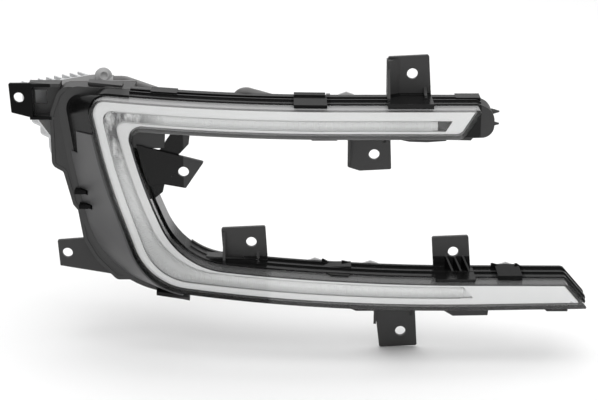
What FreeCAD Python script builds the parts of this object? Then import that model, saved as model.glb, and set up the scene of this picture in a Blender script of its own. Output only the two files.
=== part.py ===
import math
import os

import FreeCAD
import Part
import Sketcher

# Daytime running light: a C-shaped lamp for the corner of a car's front bumper.
# Frame: millimetres, +X towards the middle of the car, +Y to the rear, +Z up.
# The origin lies on the seat plane of the mounting tabs, midway between the
# hole of the upper right tab and the hole of the lower right tab.

os.makedirs("parts", exist_ok=True)
doc = FreeCAD.newDocument("daytime_running_light")
Vector = FreeCAD.Vector
Rotation = FreeCAD.Rotation
Placement = FreeCAD.Placement

# Driving sizes, kept in one spreadsheet

SIZES = {
    # Plan shape: straight arms, then a long bend that wraps round the car's corner
    "face_y": -34.0,
    "bend_start_x": -50.0,
    "bend_radius": 520.0,
    # Lens outline seen from the front
    "upper_arm_top": 81.8,
    "upper_arm_bottom": 59.8,
    "upper_tip_top_x": 51.8,
    "upper_tip_bottom_x": 38.2,
    "leg_outer_top_x": -238.4,
    "leg_outer_middle_x": -225.4,
    "leg_outer_middle_z": 20.0,
    "leg_outer_foot_x": -196.0,
    "lower_arm_foot_z": -62.6,
    "lower_arm_middle_x": 0.0,
    "lower_arm_middle_z": -72.8,
    "lower_tip_x": 134.5,
    "lower_tip_z": -70.6,
    "lower_tip_top_x": 118.0,
    "lower_tip_top_z": -51.4,
    "gap_floor_middle_z": -51.0,
    "leg_inner_foot_x": -168.4,
    "leg_inner_foot_z": -41.6,
    "leg_inner_middle_x": -194.5,
    "leg_inner_middle_z": 17.0,
    "leg_inner_top_x": -205.6,
    "outer_corner_radius": 13.0,
    "inner_corner_radius": 8.0,
    "outer_knee_radius": 45.0,
    "inner_knee_radius": 52.0,
    "leg_bow_radius": 400.0,
    "inner_bow_radius": 330.0,
    "arm_bow_radius": 1500.0,
    "strip_bow_radius": 1250.0,
    "tip_radius": 2.0,
    "tip_heel_radius": 9.0,
    # Depths, measured square to the lens face
    "lens_thickness": 2.5,
    "lens_wall": 2.2,
    "housing_front": 13.0,
    "lens_foot": 17.0,
    "groove_floor": 19.0,
    "rim_depth": 22.0,
    "upper_depth": 40.0,
    "lower_depth": 34.0,
    "fit_gap": 0.2,
    # Rear housing
    "housing_wall": 2.2,
    "housing_lip": 1.4,
    "groove_land": 2.0,
    "rail_height": 1.4,
    "rail_width": 3.0,
    "bead_rail_depth": 20.5,
    "bead_rail_width": 1.8,
    # Flared skirt and its rim band on the leg side
    "skirt_slope": -0.32,
    "skirt_front_x": -235.0,
    "skirt_front_y": 8.0,
    "rim_plane_x": -262.0,
    "rim_plane_y": 41.0,
    "rim_band_width": 6.0,
    "rim_band_thickness": 2.6,
    "rim_top_z": 82.0,
    "rim_left_x": -266.5,
    "rim_corner_radius": 19.0,
    "rim_middle_x": -257.5,
    "rim_middle_z": 20.0,
    "rim_bow_radius": 300.0,
    "rim_knee_x": -238.0,
    "rim_knee_z": -69.5,
    "rim_knee_radius": 70.0,
    "skirt_end_x": -166.0,
    "rim_end_z": -79.0,
    "panel_proud": 2.0,
    "panel_top_left_z": 40.5,
    "panel_top_right_z": 65.7,
    # Rear chamber behind the leg and the pod that carries the heat sink
    "chamber_inset": 3.0,
    "chamber_back_y": 60.0,
    "pod_bottom_z": 12.0,
    "pod_top_z": 78.0,
    "pod_side_x": -271.0,
    "pod_left_x": -284.0,
    "pod_left_y": 57.5,
    "pod_back_x": -243.0,
    "pod_back_y": 90.5,
    "pod_right_x": -233.0,
    "pod_wall": 2.6,
    # Mounting tabs, all plates on one seat plane but for the two at the left
    "tab_thickness": 3.0,
    "tab_hole_radius": 4.0,
    "left_tab_y": 46.0,
    "right_hole_x": 2.5,
    "right_hole_z": 101.2,
    "inner_hole_upper_x": -24.5,
    "inner_hole_upper_z": 39.8,
    "inner_hole_lower_x": 36.2,
    "inner_hole_lower_z": -36.7,
    "leg_hole_upper_x": -166.0,
    "leg_hole_upper_z": 26.3,
    "leg_hole_lower_x": -116.1,
    "leg_hole_lower_z": -28.9,
    "left_hole_upper_x": -293.7,
    "left_hole_upper_z": 71.4,
    "left_hole_lower_x": -261.9,
    "left_hole_lower_z": -54.0,
    # Silver bezel, fluted strip and what lies behind them
    "bezel_gap": 2.8,
    "bezel_face": 5.5,
    "bezel_thickness": 1.8,
    "bezel_wall": 1.6,
    "band_upper": 7.0,
    "band_leg": 6.8,
    "band_lower": 5.0,
    "edge_upper": 2.0,
    "edge_leg": 6.5,
    "strip_corner_radius": 7.5,
    "strip_tip_setback": 13.4,
    "strip_end_setback": 60.4,
    "strip_recess": 2.5,
    "strip_thickness": 3.0,
    "tray_wall": 1.2,
    "board_thickness": 1.2,
    "board_depth": 24.0,
    "led_side": 3.0,
    "led_height": 1.4,
    "led_pitch": 24.0,
}

sheet = doc.addObject("Spreadsheet::Sheet", "sizes")
for row, (alias, size) in enumerate(SIZES.items(), start=1):
    sheet.set("A%d" % row, alias.replace("_", " "))
    sheet.set("B%d" % row, str(size))
    sheet.setAlias("B%d" % row, alias)
doc.recompute()


def size(alias):
    """The value of one cell of the sheet."""
    return float(sheet.get(alias))


# Outlines: corner points with a radius each, joined by tangent arcs

def corner(x, z, radius=0.0):
    return (x, z, radius)


def outline_edges(corners):
    """Line and arc geometry round a closed outline of rounded corners."""
    rounded = []
    count = len(corners)
    for i, (x, z, radius) in enumerate(corners):
        point = Vector(x, z, 0)
        before = Vector(corners[i - 1][0], corners[i - 1][1], 0) - point
        after = Vector(corners[(i + 1) % count][0], corners[(i + 1) % count][1], 0) - point
        before.normalize()
        after.normalize()
        angle = before.getAngle(after)
        if radius <= 0.01:
            rounded.append((point, None, point))
            continue
        setback = radius / math.tan(angle / 2)
        middle = (before + after).normalize() * (radius / math.sin(angle / 2) - radius)
        rounded.append((point + before * setback, point + middle, point + after * setback))
    edges = []
    for i, (start, middle, end) in enumerate(rounded):
        if middle is not None:
            edges.append(Part.Arc(start, middle, end))
        following = rounded[(i + 1) % count][0]
        if end.distanceToPoint(following) > 0.001:
            edges.append(Part.LineSegment(end, following))
    return edges


def offset_outline(corners, inward, radii=None):
    """The outline with each edge moved inwards by its own distance; edge i leaves corner i."""
    count = len(corners)
    area = sum(
        corners[i][0] * corners[(i + 1) % count][1] - corners[(i + 1) % count][0] * corners[i][1]
        for i in range(count)
    )
    turn = 1.0 if area > 0 else -1.0
    if not isinstance(inward, (list, tuple)):
        inward = [inward] * count
    lines = []
    for i in range(count):
        x, z, _ = corners[i]
        to_x, to_z, _ = corners[(i + 1) % count]
        length = math.hypot(to_x - x, to_z - z)
        run = ((to_x - x) / length, (to_z - z) / length)
        normal = (-run[1] * turn, run[0] * turn)
        lines.append((x + normal[0] * inward[i], z + normal[1] * inward[i], run))
    moved = []
    for i in range(count):
        from_x, from_z, from_run = lines[i - 1]
        to_x, to_z, to_run = lines[i]
        cross = from_run[0] * to_run[1] - from_run[1] * to_run[0]
        along = ((to_x - from_x) * to_run[1] - (to_z - from_z) * to_run[0]) / cross
        radius = corners[i][2]
        if radius > 0:
            convex = cross * turn > 0
            shift = (inward[i - 1] + inward[i]) / 2
            radius = max(0.4, radius - shift if convex else radius + shift)
        if radii and i in radii:
            radius = radii[i]
        moved.append((from_x + from_run[0] * along, from_z + from_run[1] * along, radius))
    return moved


FRONT_VIEW = Rotation(Vector(1, 0, 0), 90)
PLAN_VIEW = Rotation()
HIGH = 160.0
FAR = 200.0


def drawing(name, edges, rotation, at=None):
    """A closed sketch; the front view draws X and Z, the plan view X and Y."""
    sketch = doc.addObject("Sketcher::SketchObject", name)
    sketch.Placement = Placement(at or Vector(0, 0, 0), rotation)
    sketch.addGeometry(edges, False)
    return sketch


def extruded(name, sketch, direction, forward, backward=0.0):
    solid = doc.addObject("Part::Extrusion", name)
    solid.Base = sketch
    solid.DirMode = "Custom"
    solid.Dir = direction
    solid.Solid = True
    for side, length in (("LengthFwd", forward), ("LengthRev", backward)):
        if isinstance(length, str):
            solid.setExpression(side, length)
        else:
            setattr(solid, side, length)
    return solid


def boolean(kind, name, base, tool):
    result = doc.addObject("Part::" + kind, name)
    result.Base = base
    result.Tool = tool
    return result


def common(name, base, tool):
    return boolean("Common", name, base, tool)


def cut(name, base, tool):
    return boolean("Cut", name, base, tool)


def fused(name, pieces):
    result = doc.addObject("Part::MultiFuse", name)
    result.Shapes = pieces
    result.Refine = True
    return result


def front_prism(name, edges):
    """A front-view outline run the whole depth of the lamp."""
    return extruded(name, drawing(name + "_outline", edges, FRONT_VIEW), Vector(0, 1, 0), FAR, FAR)


def box(name, x0, x1, y0, y1, z0, z1):
    solid = doc.addObject("Part::Box", name)
    solid.Length = x1 - x0
    solid.Width = y1 - y0
    solid.Height = z1 - z0
    solid.Placement.Base = Vector(x0, y0, z0)
    return solid


def layer(name, front, back):
    """The space between two depths behind the lens face, along the plan shape of the lamp."""
    start = size("bend_start_x")
    radius = size("bend_radius")
    centre = Vector(start, size("face_y") + radius, 0)
    reach = 260.0

    def bend(depth):
        own = radius - depth
        angle_end = math.asin(reach / radius)
        at_start = Vector(start, centre.y - own, 0)
        at_middle = centre + Vector(-math.sin(angle_end / 2), -math.cos(angle_end / 2), 0) * own
        at_end = centre + Vector(-math.sin(angle_end), -math.cos(angle_end), 0) * own
        arc = Part.Arc(at_start, at_middle, at_end)
        return at_start, at_end, arc

    start_front, end_front, front_arc = bend(front)
    start_back, end_back, back_arc = bend(back)
    right_front = Vector(FAR, start_front.y, 0)
    right_back = Vector(FAR, start_back.y, 0)
    edges = [
        Part.LineSegment(right_front, start_front),
        front_arc,
        Part.LineSegment(end_front, end_back),
        back_arc,
        Part.LineSegment(start_back, right_back),
        Part.LineSegment(right_back, right_front),
    ]
    return extruded(name, drawing(name + "_plan", edges, PLAN_VIEW), Vector(0, 0, 1), HIGH, HIGH)


def on_layer(name, edges, front, back):
    """A front-view outline cut to a layer of the lamp's plan shape."""
    return common(name, front_prism(name + "_prism", edges), layer(name + "_layer", front, back))


def bend_y(x, depth=0.0):
    """Y of a point at a depth behind the lens face."""
    start = size("bend_start_x")
    radius = size("bend_radius")
    if x >= start:
        return size("face_y") + depth
    own = radius - depth
    return size("face_y") + radius - math.sqrt(own * own - (start - x) ** 2)


# Lens outline, clockwise from the upper arm's tip

LENS = [
    corner(size("upper_tip_top_x"), size("upper_arm_top"), size("tip_radius")),
    corner(size("leg_outer_top_x"), size("upper_arm_top"), size("outer_corner_radius")),
    corner(size("leg_outer_middle_x"), size("leg_outer_middle_z"), size("leg_bow_radius")),
    corner(size("leg_outer_foot_x"), size("lower_arm_foot_z"), size("outer_knee_radius")),
    corner(size("lower_arm_middle_x"), size("lower_arm_middle_z"), size("arm_bow_radius")),
    corner(size("lower_tip_x"), size("lower_tip_z"), size("tip_radius") / 2),
    corner(size("lower_tip_top_x"), size("lower_tip_top_z"), size("tip_radius")),
    corner(size("lower_arm_middle_x"), size("gap_floor_middle_z"), size("arm_bow_radius")),
    corner(size("leg_inner_foot_x"), size("leg_inner_foot_z"), size("inner_knee_radius")),
    corner(size("leg_inner_middle_x"), size("leg_inner_middle_z"), size("inner_bow_radius")),
    corner(size("leg_inner_top_x"), size("upper_arm_bottom"), size("inner_corner_radius")),
    corner(size("upper_tip_bottom_x"), size("upper_arm_bottom"), size("tip_heel_radius")),
]


def lens_offset(inward):
    return outline_edges(offset_outline(LENS, inward))


# Outer lens: one clear moulded cap with side walls that end in a foot

lens_blank = on_layer("lens_blank", lens_offset(0.0), 0.0, size("lens_foot"))
lens_hollow = on_layer(
    "lens_hollow", lens_offset(size("lens_wall")), size("lens_thickness"), size("lens_foot") + 5
)
outer_lens = cut("outer_lens", lens_blank, lens_hollow)

# Rear housing: trough along both arms and the leg, open to the front

lip = size("housing_lip")
wall_in = size("housing_wall") - lip
back_wall = size("housing_wall")
land = size("lens_wall") + size("fit_gap") + size("groove_land")
housing_front = size("housing_front")
rim_depth = size("rim_depth")
upper_depth = size("upper_depth")
lower_depth = size("lower_depth")


def rim_y(x):
    """Y of the leaning plane on which the rim band of the leg side lies."""
    return size("rim_plane_y") + size("skirt_slope") * (x - size("rim_plane_x"))


def beside_rim(name, gap, far):
    """All space between the rim plane, moved by a gap, and a far plane."""
    left, right = -340.0, -150.0
    edges = outline_edges([
        corner(left, rim_y(left) + gap), corner(right, rim_y(right) + gap),
        corner(right, far), corner(left, far),
    ])
    return extruded(name, drawing(name + "_plan", edges, PLAN_VIEW), Vector(0, 0, 1), HIGH, HIGH)


def front_slab(name, corners, y0, y1):
    """A front-view outline run between two planes square to Y."""
    sketch = drawing(name + "_outline", outline_edges(corners), FRONT_VIEW, Vector(0, y0, 0))
    return extruded(name, sketch, Vector(0, 1, 0), y1 - y0)


def ring_on_layer(name, outer, inner, front, back):
    """A wall between two offsets of the lens outline, cut to a layer."""
    edges = lens_offset(outer) + lens_offset(inner)
    return common(name, front_prism(name + "_prism", edges), layer(name + "_layer", front, back))


upper_zone = box("upper_zone", -206, 140, -60, 120, 20, 140)
LEG_ZONE = [
    corner(-300, 140), corner(-206, 140), corner(-206, 20), corner(-170, 20),
    corner(-170, -8), corner(-184, -8), corner(-184, -140), corner(-300, -140),
]
leg_zone = front_slab("leg_zone", LEG_ZONE, -60, 120)
leg_depths = common("leg_depths", layer("leg_depth_layer", lower_depth - 3, 110), leg_zone)
trough_space = fused("trough_space", [
    layer("trough_front_space", housing_front, lower_depth),
    common("trough_upper_space", layer("trough_upper_layer", lower_depth - 4, upper_depth), upper_zone),
    common("trough_leg_space", leg_depths, beside_rim("before_chamber", 2.9, -100.0)),
])
room_space = fused("room_space", [
    layer("room_front_space", rim_depth - 1, lower_depth - back_wall),
    common(
        "room_upper_space", layer("room_upper_layer", lower_depth - 5, upper_depth - back_wall), upper_zone),
    leg_depths,
])
trough_mass = common("trough_mass", front_prism("trough_outline_prism", lens_offset(-lip)), trough_space)
trough_room = common("trough_room", front_prism("room_outline_prism", lens_offset(wall_in)), room_space)
rim_window = on_layer("rim_window", lens_offset(land), housing_front - 1, rim_depth + 1)
groove = ring_on_layer(
    "glue_groove", -size("fit_gap"), size("lens_wall") + size("fit_gap"),
    housing_front - 2, size("groove_floor")
)
trough = cut("trough", cut("trough_roomed", cut("trough_open", trough_mass, rim_window), trough_room), groove)

# Flared skirt, rim band and rear chamber, drawn on planes that lean back with the car's corner

LEAN = math.hypot(1.0, size("skirt_slope"))
LEANING_VIEW = Rotation(Vector(0, 0, 1), math.degrees(math.atan(size("skirt_slope")))) * FRONT_VIEW


def leaning_drawing(name, corners, x, y):
    """A front-view outline drawn on a leaning plane through the point (x, y)."""
    flat = [corner((cx - x) * LEAN, cz, radius) for cx, cz, radius in corners]
    return drawing(name, outline_edges(flat), LEANING_VIEW, Vector(x, y, 0))


def leaning_loft(name, front_corners, back_corners):
    """A solid ruled between the skirt's front plane and the rim plane."""
    loft = doc.addObject("Part::Loft", name)
    loft.Sections = [
        leaning_drawing(name + "_front", front_corners, size("skirt_front_x"), size("skirt_front_y")),
        leaning_drawing(name + "_back", back_corners, size("rim_plane_x"), size("rim_plane_y")),
    ]
    loft.Solid = True
    loft.Ruled = True
    return loft


end_x = size("skirt_end_x")
SKIRT = [
    corner(-205.0, size("upper_arm_top") + lip),
    corner(size("leg_outer_top_x") - lip, size("upper_arm_top") + lip, size("outer_corner_radius") + 1),
    corner(size("leg_outer_middle_x") - lip, size("leg_outer_middle_z"), size("rim_bow_radius")),
    corner(size("leg_outer_foot_x") - lip, size("lower_arm_foot_z") - lip, size("outer_knee_radius") + 1),
    corner(end_x, -66.2),
    corner(end_x + 2, -56.0),
    corner(-204.0, 10.0),
]
RIM = [
    corner(-205.0, size("rim_top_z")),
    corner(size("rim_left_x"), size("rim_top_z"), size("rim_corner_radius")),
    corner(size("rim_middle_x"), size("rim_middle_z"), size("rim_bow_radius")),
    corner(size("rim_knee_x"), size("rim_knee_z"), size("rim_knee_radius")),
    corner(end_x, size("rim_end_z")),
    corner(end_x + 2, -56.0),
    corner(-204.0, 10.0),
]


def inside(corners, distance):
    """The skirt outline moved inwards on its outer edges only."""
    return offset_outline(corners, [distance] * 4 + [0.0] * 3)


band = size("rim_band_width")
skirt_loft = leaning_loft("skirt_loft", SKIRT, inside(RIM, band))
skirt_hollow = leaning_loft("skirt_hollow", inside(SKIRT, 2.6), inside(RIM, band + 2.6))
skirt_hollow.Placement.Base = Vector(0, 2.6, 0)
trough_solid = front_prism("trough_solid", lens_offset(0.6 - lip))
skirt_shell = cut("skirt_shell", cut("skirt_shell_whole", skirt_loft, skirt_hollow), trough_solid)
rim_plate = extruded(
    "rim_plate",
    leaning_drawing("rim_plate_outline", RIM, size("rim_plane_x"), size("rim_plane_y")),
    Vector(0, 1, 0),
    "sizes.rim_band_thickness",
)
RIM_OPENING = inside(RIM, band + 2.6)[:4] + [
    corner(end_x + 20, size("rim_end_z") + 9), corner(end_x + 26, -50.0),
    corner(-170.0, 10.0), corner(-185.0, 74.0),
]
RIM_OPENING[0] = corner(-205.0, 73.4)
rim_band = cut("rim_band", rim_plate, front_prism("rim_opening", outline_edges(RIM_OPENING)))

CHAMBER = [
    corner(-205.0, 81.0),
    corner(-262.0, 81.0, 12.0),
    corner(-271.0, 58.0, 20.0),
    corner(-271.0, 17.0, 6.0),
    corner(-262.0, 13.0, 3.0),
    corner(-255.2, -13.0),
    corner(-251.6, -17.0, 2.0),
    corner(-247.8, -41.0, 10.0),
    corner(-239.0, -56.0, 30.0),
    corner(-222.0, -71.0, 5.0),
    corner(-203.0, -68.5, 8.0),
    corner(-189.5, -54.0, 8.0),
    corner(-189.5, -10.0, 40.0),
    corner(-199.5, 17.0, 60.0),
    corner(-203.6, 45.5),
    corner(-181.0, 45.5, 4.0),
    corner(-181.0, 60.5, 2.0),
    corner(-205.0, 60.5, 1.0),
]

# The rear cap closes the chamber on this plane, with a seal between the two
cap_y = size("chamber_back_y") - 3.0
chamber_inset = size("chamber_inset")
CHAMBER_ROOM = offset_outline(CHAMBER, chamber_inset)
chamber_ring = extruded(
    "chamber_ring",
    drawing("chamber_ring_outline", outline_edges(CHAMBER) + outline_edges(CHAMBER_ROOM), FRONT_VIEW),
    Vector(0, 1, 0), cap_y - 1, 20,
)
chamber_wall = common("chamber_wall", chamber_ring, beside_rim("behind_rim", 0.2, 160.0))

# Front of the chamber: a plate behind the rim band, open to the trough of the leg
CHAMBER_MOUTH = [
    corner(-207.0, 73.4), corner(-255.5, 73.4, 8.0), corner(-255.5, 58.0, 10.0), corner(-247.5, 20.0, 60.0),
    corner(-239.0, -22.0, 60.0), corner(-230.0, -50.0, 20.0), corner(-218.0, -62.0, 6.0),
    corner(-204.0, -61.0, 6.0), corner(-194.5, -50.0, 6.0), corner(-194.5, -12.0, 30.0),
    corner(-207.0, 22.0, 30.0),
]
chamber_front_outline = fused("chamber_front_outline", [
    front_prism("chamber_prism", outline_edges(offset_outline(CHAMBER, 0.25))),
    common("leg_outline", front_prism("leg_outline_prism", lens_offset(0.3 - lip)),
           box("leg_outline_zone", -260, -182.2, -60, 120, -80, 58)),
])
plate_space = cut(
    "plate_space", beside_rim("plate_front_space", 0.5, 160.0), beside_rim("plate_back_space", 2.7, 180.0)
)
chamber_front = cut(
    "chamber_front",
    common("chamber_front_plate", chamber_front_outline, plate_space),
    front_prism("chamber_mouth_prism", outline_edges(CHAMBER_MOUTH)),
)

# Rails and lugs that stand out from the trough walls

bead_start = size("bead_rail_depth")
bead_ring = ring_on_layer(
    "bead_ring", -2.6, -0.6, bead_start, bead_start + size("bead_rail_width")
)
rail_proud = lip + size("rail_height")
rail_width = size("rail_width")
upper_rail_ring = ring_on_layer(
    "upper_rail_ring", -rail_proud, -0.6, upper_depth - 12.4, upper_depth - 12.4 + rail_width
)
lower_rail_ring = ring_on_layer(
    "lower_rail_ring", -rail_proud, -0.6, lower_depth - rail_width - 0.4, lower_depth - 0.4
)
lower_zone = box("lower_zone", -162, 140, -60, 120, -140, -20)
bead_rail_upper = common("bead_rail_upper", bead_ring, upper_zone)
bead_rail_lower = common("bead_rail_lower", bead_ring, lower_zone)
upper_rail = common("upper_rail", upper_rail_ring, upper_zone)
lower_rail = common("lower_rail", lower_rail_ring, lower_zone)

LUGS = (
    # name, left, right, low, high, front depth, back depth
    ("top_flat_clip", -240.0, -213.0, 82.0, 84.6, 34.0, 44.0),
    ("top_barb_block", -190.0, -170.0, 82.0, 85.2, 22.5, 36.0),
    ("top_strap_lug", -84.0, -60.0, 82.2, 84.4, 4.0, 33.0),
    ("top_strap_head", -84.0, -61.0, 82.6, 85.6, 29.0, 37.0),
    ("top_end_lug", 34.0, 52.0, 82.0, 85.0, 24.0, 37.0),
    ("under_arm_clip", -65.0, -52.0, 54.8, 59.6, 22.0, 38.0),
    ("under_arm_bulge", -10.0, 28.0, 55.4, 59.6, 22.0, 38.5),
    ("lower_top_clip", -63.0, -41.0, -48.2, -45.2, 22.0, 33.6),
    ("lower_top_clip_right", 68.0, 86.0, -50.8, -47.4, 8.0, 33.6),
    ("under_clip_left", -43.0, -27.0, -74.6, -71.5, 15.0, 28.0),
    ("under_clip_right", 22.0, 60.0, -77.2, -72.4, 18.0, 32.0),
    ("under_clip_tip", 102.0, 119.0, -75.0, -71.3, 18.0, 30.0),
)


def along_bend(name, x0, x1, z0, z1, front, back):
    """A block between two depths that follows the plan shape between x0 and x1."""
    edges = outline_edges([
        corner(x0, bend_y(x0, front)), corner(x1, bend_y(x1, front)),
        corner(x1, bend_y(x1, back)), corner(x0, bend_y(x0, back)),
    ])
    sketch = drawing(name + "_plan", edges, PLAN_VIEW, Vector(0, 0, z0))
    return extruded(name, sketch, Vector(0, 0, 1), z1 - z0)


lugs = [bead_rail_upper, bead_rail_lower, upper_rail, lower_rail]
for name, x0, x1, z0, z1, front, back in LUGS:
    lugs.append(along_bend(name, x0, x1, z0, z1, front, back))

# End block behind the tip of the upper arm, with its two locating spikes

END_BLOCK = [
    corner(20.0, 82.6),
    corner(50.0, 82.6, 6.0),
    corner(61.7, 77.0, 11.0),
    corner(61.7, 57.4, 9.0),
    corner(46.0, 57.0, 3.0),
    corner(37.0, 58.3, 3.0),
    corner(20.0, 58.3),
]
END_POCKET = [corner(52.5, 60.2), corner(58.9, 60.2, 4.0), corner(58.9, 75.0), corner(57.6, 75.0)]
end_block = cut(
    "end_block",
    cut("end_block_solid", front_slab("end_block_slab", END_BLOCK, -19.0, 5.0),
        front_prism("end_block_seat", lens_offset(0.6 - lip))),
    front_slab("end_pocket", END_POCKET, -15.5, 20.0),
)


def spike(name, z):
    cone = doc.addObject("Part::Cone", name)
    cone.Radius1 = 2.3
    cone.Radius2 = 0.6
    cone.Height = 6.0
    cone.Placement = Placement(Vector(60.7, -5.0, z), Rotation(Vector(0, 1, 0), 90))
    return cone


spikes = [spike("upper_spike", 73.4), spike("lower_spike", 64.2)]

# Mounting tabs: flat plates on the seat plane, with webs that tie them to the housing

thick = size("tab_thickness")
floor_z = size("gap_floor_middle_z")


def tab(name, corners, seat):
    """A plate whose rear face lies on the seat plane."""
    sketch = drawing(name + "_outline", outline_edges(corners), FRONT_VIEW, Vector(0, seat - thick, 0))
    return extruded(name, sketch, Vector(0, 1, 0), "sizes.tab_thickness")


def plan_web(name, corners, z0, z1):
    """A plan outline run between two heights."""
    sketch = drawing(name + "_plan", outline_edges(corners), PLAN_VIEW, Vector(0, 0, z0))
    return extruded(name, sketch, Vector(0, 0, 1), z1 - z0)


def side_web(name, corners, x0, x1, turn=0.0):
    """A web drawn in Y and Z and run along X, turned about the vertical through its foot."""
    yaw = Rotation(Vector(0, 0, 1), turn)
    turned = yaw * Rotation(Vector(1, 1, 1), 120)
    sketch = drawing(name + "_side", outline_edges(corners), turned, Vector(x0, 0, 0))
    return extruded(name, sketch, yaw.multVec(Vector(1, 0, 0)), x1 - x0)


hx, hz = size("right_hole_x"), size("right_hole_z")
top_z = size("upper_arm_top") + lip
right_top_tab = tab("right_top_tab", [
    corner(hx - 17.9, hz + 12.5, 1.5), corner(hx + 11.9, hz + 14.0, 1.5),
    corner(16.6, top_z - 1), corner(-16.4, top_z - 1),
], 0.0)
tabs = [
    right_top_tab,
    box("right_top_foot", -16.4, 16.6, -31.0, 0.0, top_z - 1.2, top_z + 2.3),
    side_web("right_top_flank", [
        corner(0, top_z), corner(0, hz + 11), corner(-5, hz + 11), corner(-22, top_z)], -16.4, -14.2),
    side_web("right_top_gusset", [
        corner(-1, top_z), corner(-1, top_z + 9), corner(-18, top_z)], 11.0, 13.0),
    plan_web("right_top_wing", [
        corner(-7.0, -0.6), corner(-7.0, -3.2), corner(-15.4, -9.2), corner(-15.4, -6.6)], top_z, hz + 11),
]
hx, hz = size("inner_hole_upper_x"), size("inner_hole_upper_z")
low_z = size("upper_arm_bottom") - lip
tabs += [
    tab("inner_upper_tab", [
        corner(-44.4, low_z + 1), corner(hx - 19.4, hz - 9.7, 1.2), corner(hx - 10.7, hz - 12.5, 1.2),
        corner(hx + 12.8, hz - 11.3, 1.2), corner(-12.9, low_z + 1),
    ], 0.0),
    side_web("inner_upper_flank", [
        corner(-1, low_z + 1), corner(-12, low_z + 1), corner(-4, hz - 9), corner(-1, hz - 9)], -44.2, -42.2),
    side_web("inner_upper_gusset", [
        corner(-1, low_z + 1), corner(-14, low_z + 1), corner(-1, hz + 7)], -18.0, -16.0),
]
hx, hz = size("inner_hole_lower_x"), size("inner_hole_lower_z")
tabs += [
    tab("inner_lower_tab", [
        corner(hx - 16.4, hz + 11.6, 1.5), corner(hx + 11.1, hz + 12.8, 1.5), corner(49.7, floor_z - 1),
        corner(21.5, floor_z - 1),
    ], 0.0),
    box("inner_lower_foot", 21.0, 51.0, -30.0, 0.0, floor_z - 0.5, floor_z + 2.2),
]
for i, x in enumerate((28.6, 34.8, 41.2), start=1):
    tabs.append(side_web("inner_lower_rib_%d" % i, [
        corner(-1, floor_z), corner(-1, floor_z + 13.5), corner(-16, floor_z + 1)], x, x + 1.6, 25.0))
hx, hz = -size("right_hole_x"), -size("right_hole_z")
tabs += [
    tab("right_bottom_tab", [
        corner(hx - 21.0, -72.5), corner(hx - 16.0, hz - 13.0, 1.5), corner(hx + 12.8, hz - 11.8, 1.5),
        corner(hx + 10.2, -72.5),
    ], 0.0),
    side_web("right_bottom_flank", [
        corner(-1, -73.5), corner(-14, -73.5), corner(-1, hz + 5)], hx - 20.6, hx - 18.6),
    side_web("right_bottom_gusset", [
        corner(-1, -73.5), corner(-14, -73.5), corner(-1, hz + 10)], hx + 7.0, hx + 9.0),
]
hx, hz = size("leg_hole_lower_x"), size("leg_hole_lower_z")
tabs += [
    tab("leg_lower_tab", [
        corner(hx - 22.6, hz + 11.0, 1.5), corner(hx + 10.6, hz + 12.6, 1.5),
        corner(-103.7, -45.0), corner(-137.0, -43.4),
    ], 0.0),
    front_slab("leg_lower_foot", [
        corner(-150.0, -42.0), corner(-104.0, -44.8), corner(-104.0, -41.4),
        corner(-150.0, -38.4)], -8.0, 2.0),
    side_web("leg_lower_flank", [
        corner(-1, -43), corner(-1, hz + 8), corner(-4, hz + 8), corner(-14, -43)], -137.4, -135.4),
    side_web("leg_lower_gusset", [
        corner(-1, -44), corner(-1, hz - 6), corner(-12, -44)], -112.0, -110.0),
]
hx, hz = size("leg_hole_upper_x"), size("leg_hole_upper_z")
tabs += [
    tab("leg_upper_tab", [
        corner(-200.6, 47.0), corner(hx + 15.2, hz + 7.7, 0.8), corner(hx + 1.4, hz - 12.6, 0.8),
        corner(hx - 15.7, hz - 9.5), corner(-193.4, 15.5),
    ], 0.0),
    front_slab("leg_upper_root", [
        corner(-200.6, 47.0), corner(-195.0, 46.0), corner(-188.0, 15.5), corner(-193.4, 15.5)], -3.0, 22.0),
    front_slab("leg_upper_strut", [
        corner(-184.0, 42.0), corner(-172.0, low_z + 1), corner(-160.5, low_z + 1), corner(-162.0, 47.0),
        corner(-170.0, 38.5)], -0.5, 2.4),
    front_slab("leg_upper_foot", [
        corner(-192.0, 18.0), corner(-180.0, 18.0), corner(-182.0, 10.0), corner(-190.4, 3.0)], -0.5, 2.4),
]
left_y = size("left_tab_y")
hx, hz = size("left_hole_upper_x"), size("left_hole_upper_z")
tabs += [
    tab("left_upper_tab", [
        corner(hx - 7.4, hz + 11.1, 1.0), corner(hx - 6.2, hz - 11.7, 1.0),
        corner(-286.7, 56.2), corner(-276.0, 53.8), corner(-284.0, 82.6),
    ], left_y),
    box("left_bracket_top", -286.0, -262.0, left_y - thick, left_y + 9.8, 79.6, 82.2),
    box("left_bracket_bottom", -286.0, -262.0, left_y - thick, left_y + 9.8, 54.0, 56.4),
    box("left_bracket_back", -286.0, -262.0, left_y + 7.4, left_y + 9.8, 54.0, 82.2),
    box("left_bracket_side", -286.0, -283.6, left_y - thick, left_y + 9.8, 54.0, 82.2),
]
bracket_window = box("left_bracket_window", -283.0, -273.5, left_y + 6, left_y + 14, 64.0, 75.0)
bracket_mouth = box("left_bracket_mouth", -283.6, -274.0, left_y - 8, left_y + 0.5, 56.4, 79.6)
hx, hz = size("left_hole_lower_x"), size("left_hole_lower_z")
tabs += [
    tab("left_lower_tab", [
        corner(hx - 7.5, hz + 10.3, 1.0), corner(hx - 6.1, hz - 10.6, 1.0),
        corner(-222.0, -72.6), corner(-218.0, -66.0), corner(-248.0, -42.0),
    ], left_y),
    front_slab("left_lower_flange", [
        corner(hx - 6.1, hz - 10.6), corner(-222.0, -72.6), corner(-221.6, -70.8),
        corner(hx - 6.0, hz - 8.8)],
        left_y - thick, left_y + 6),
]


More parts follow.
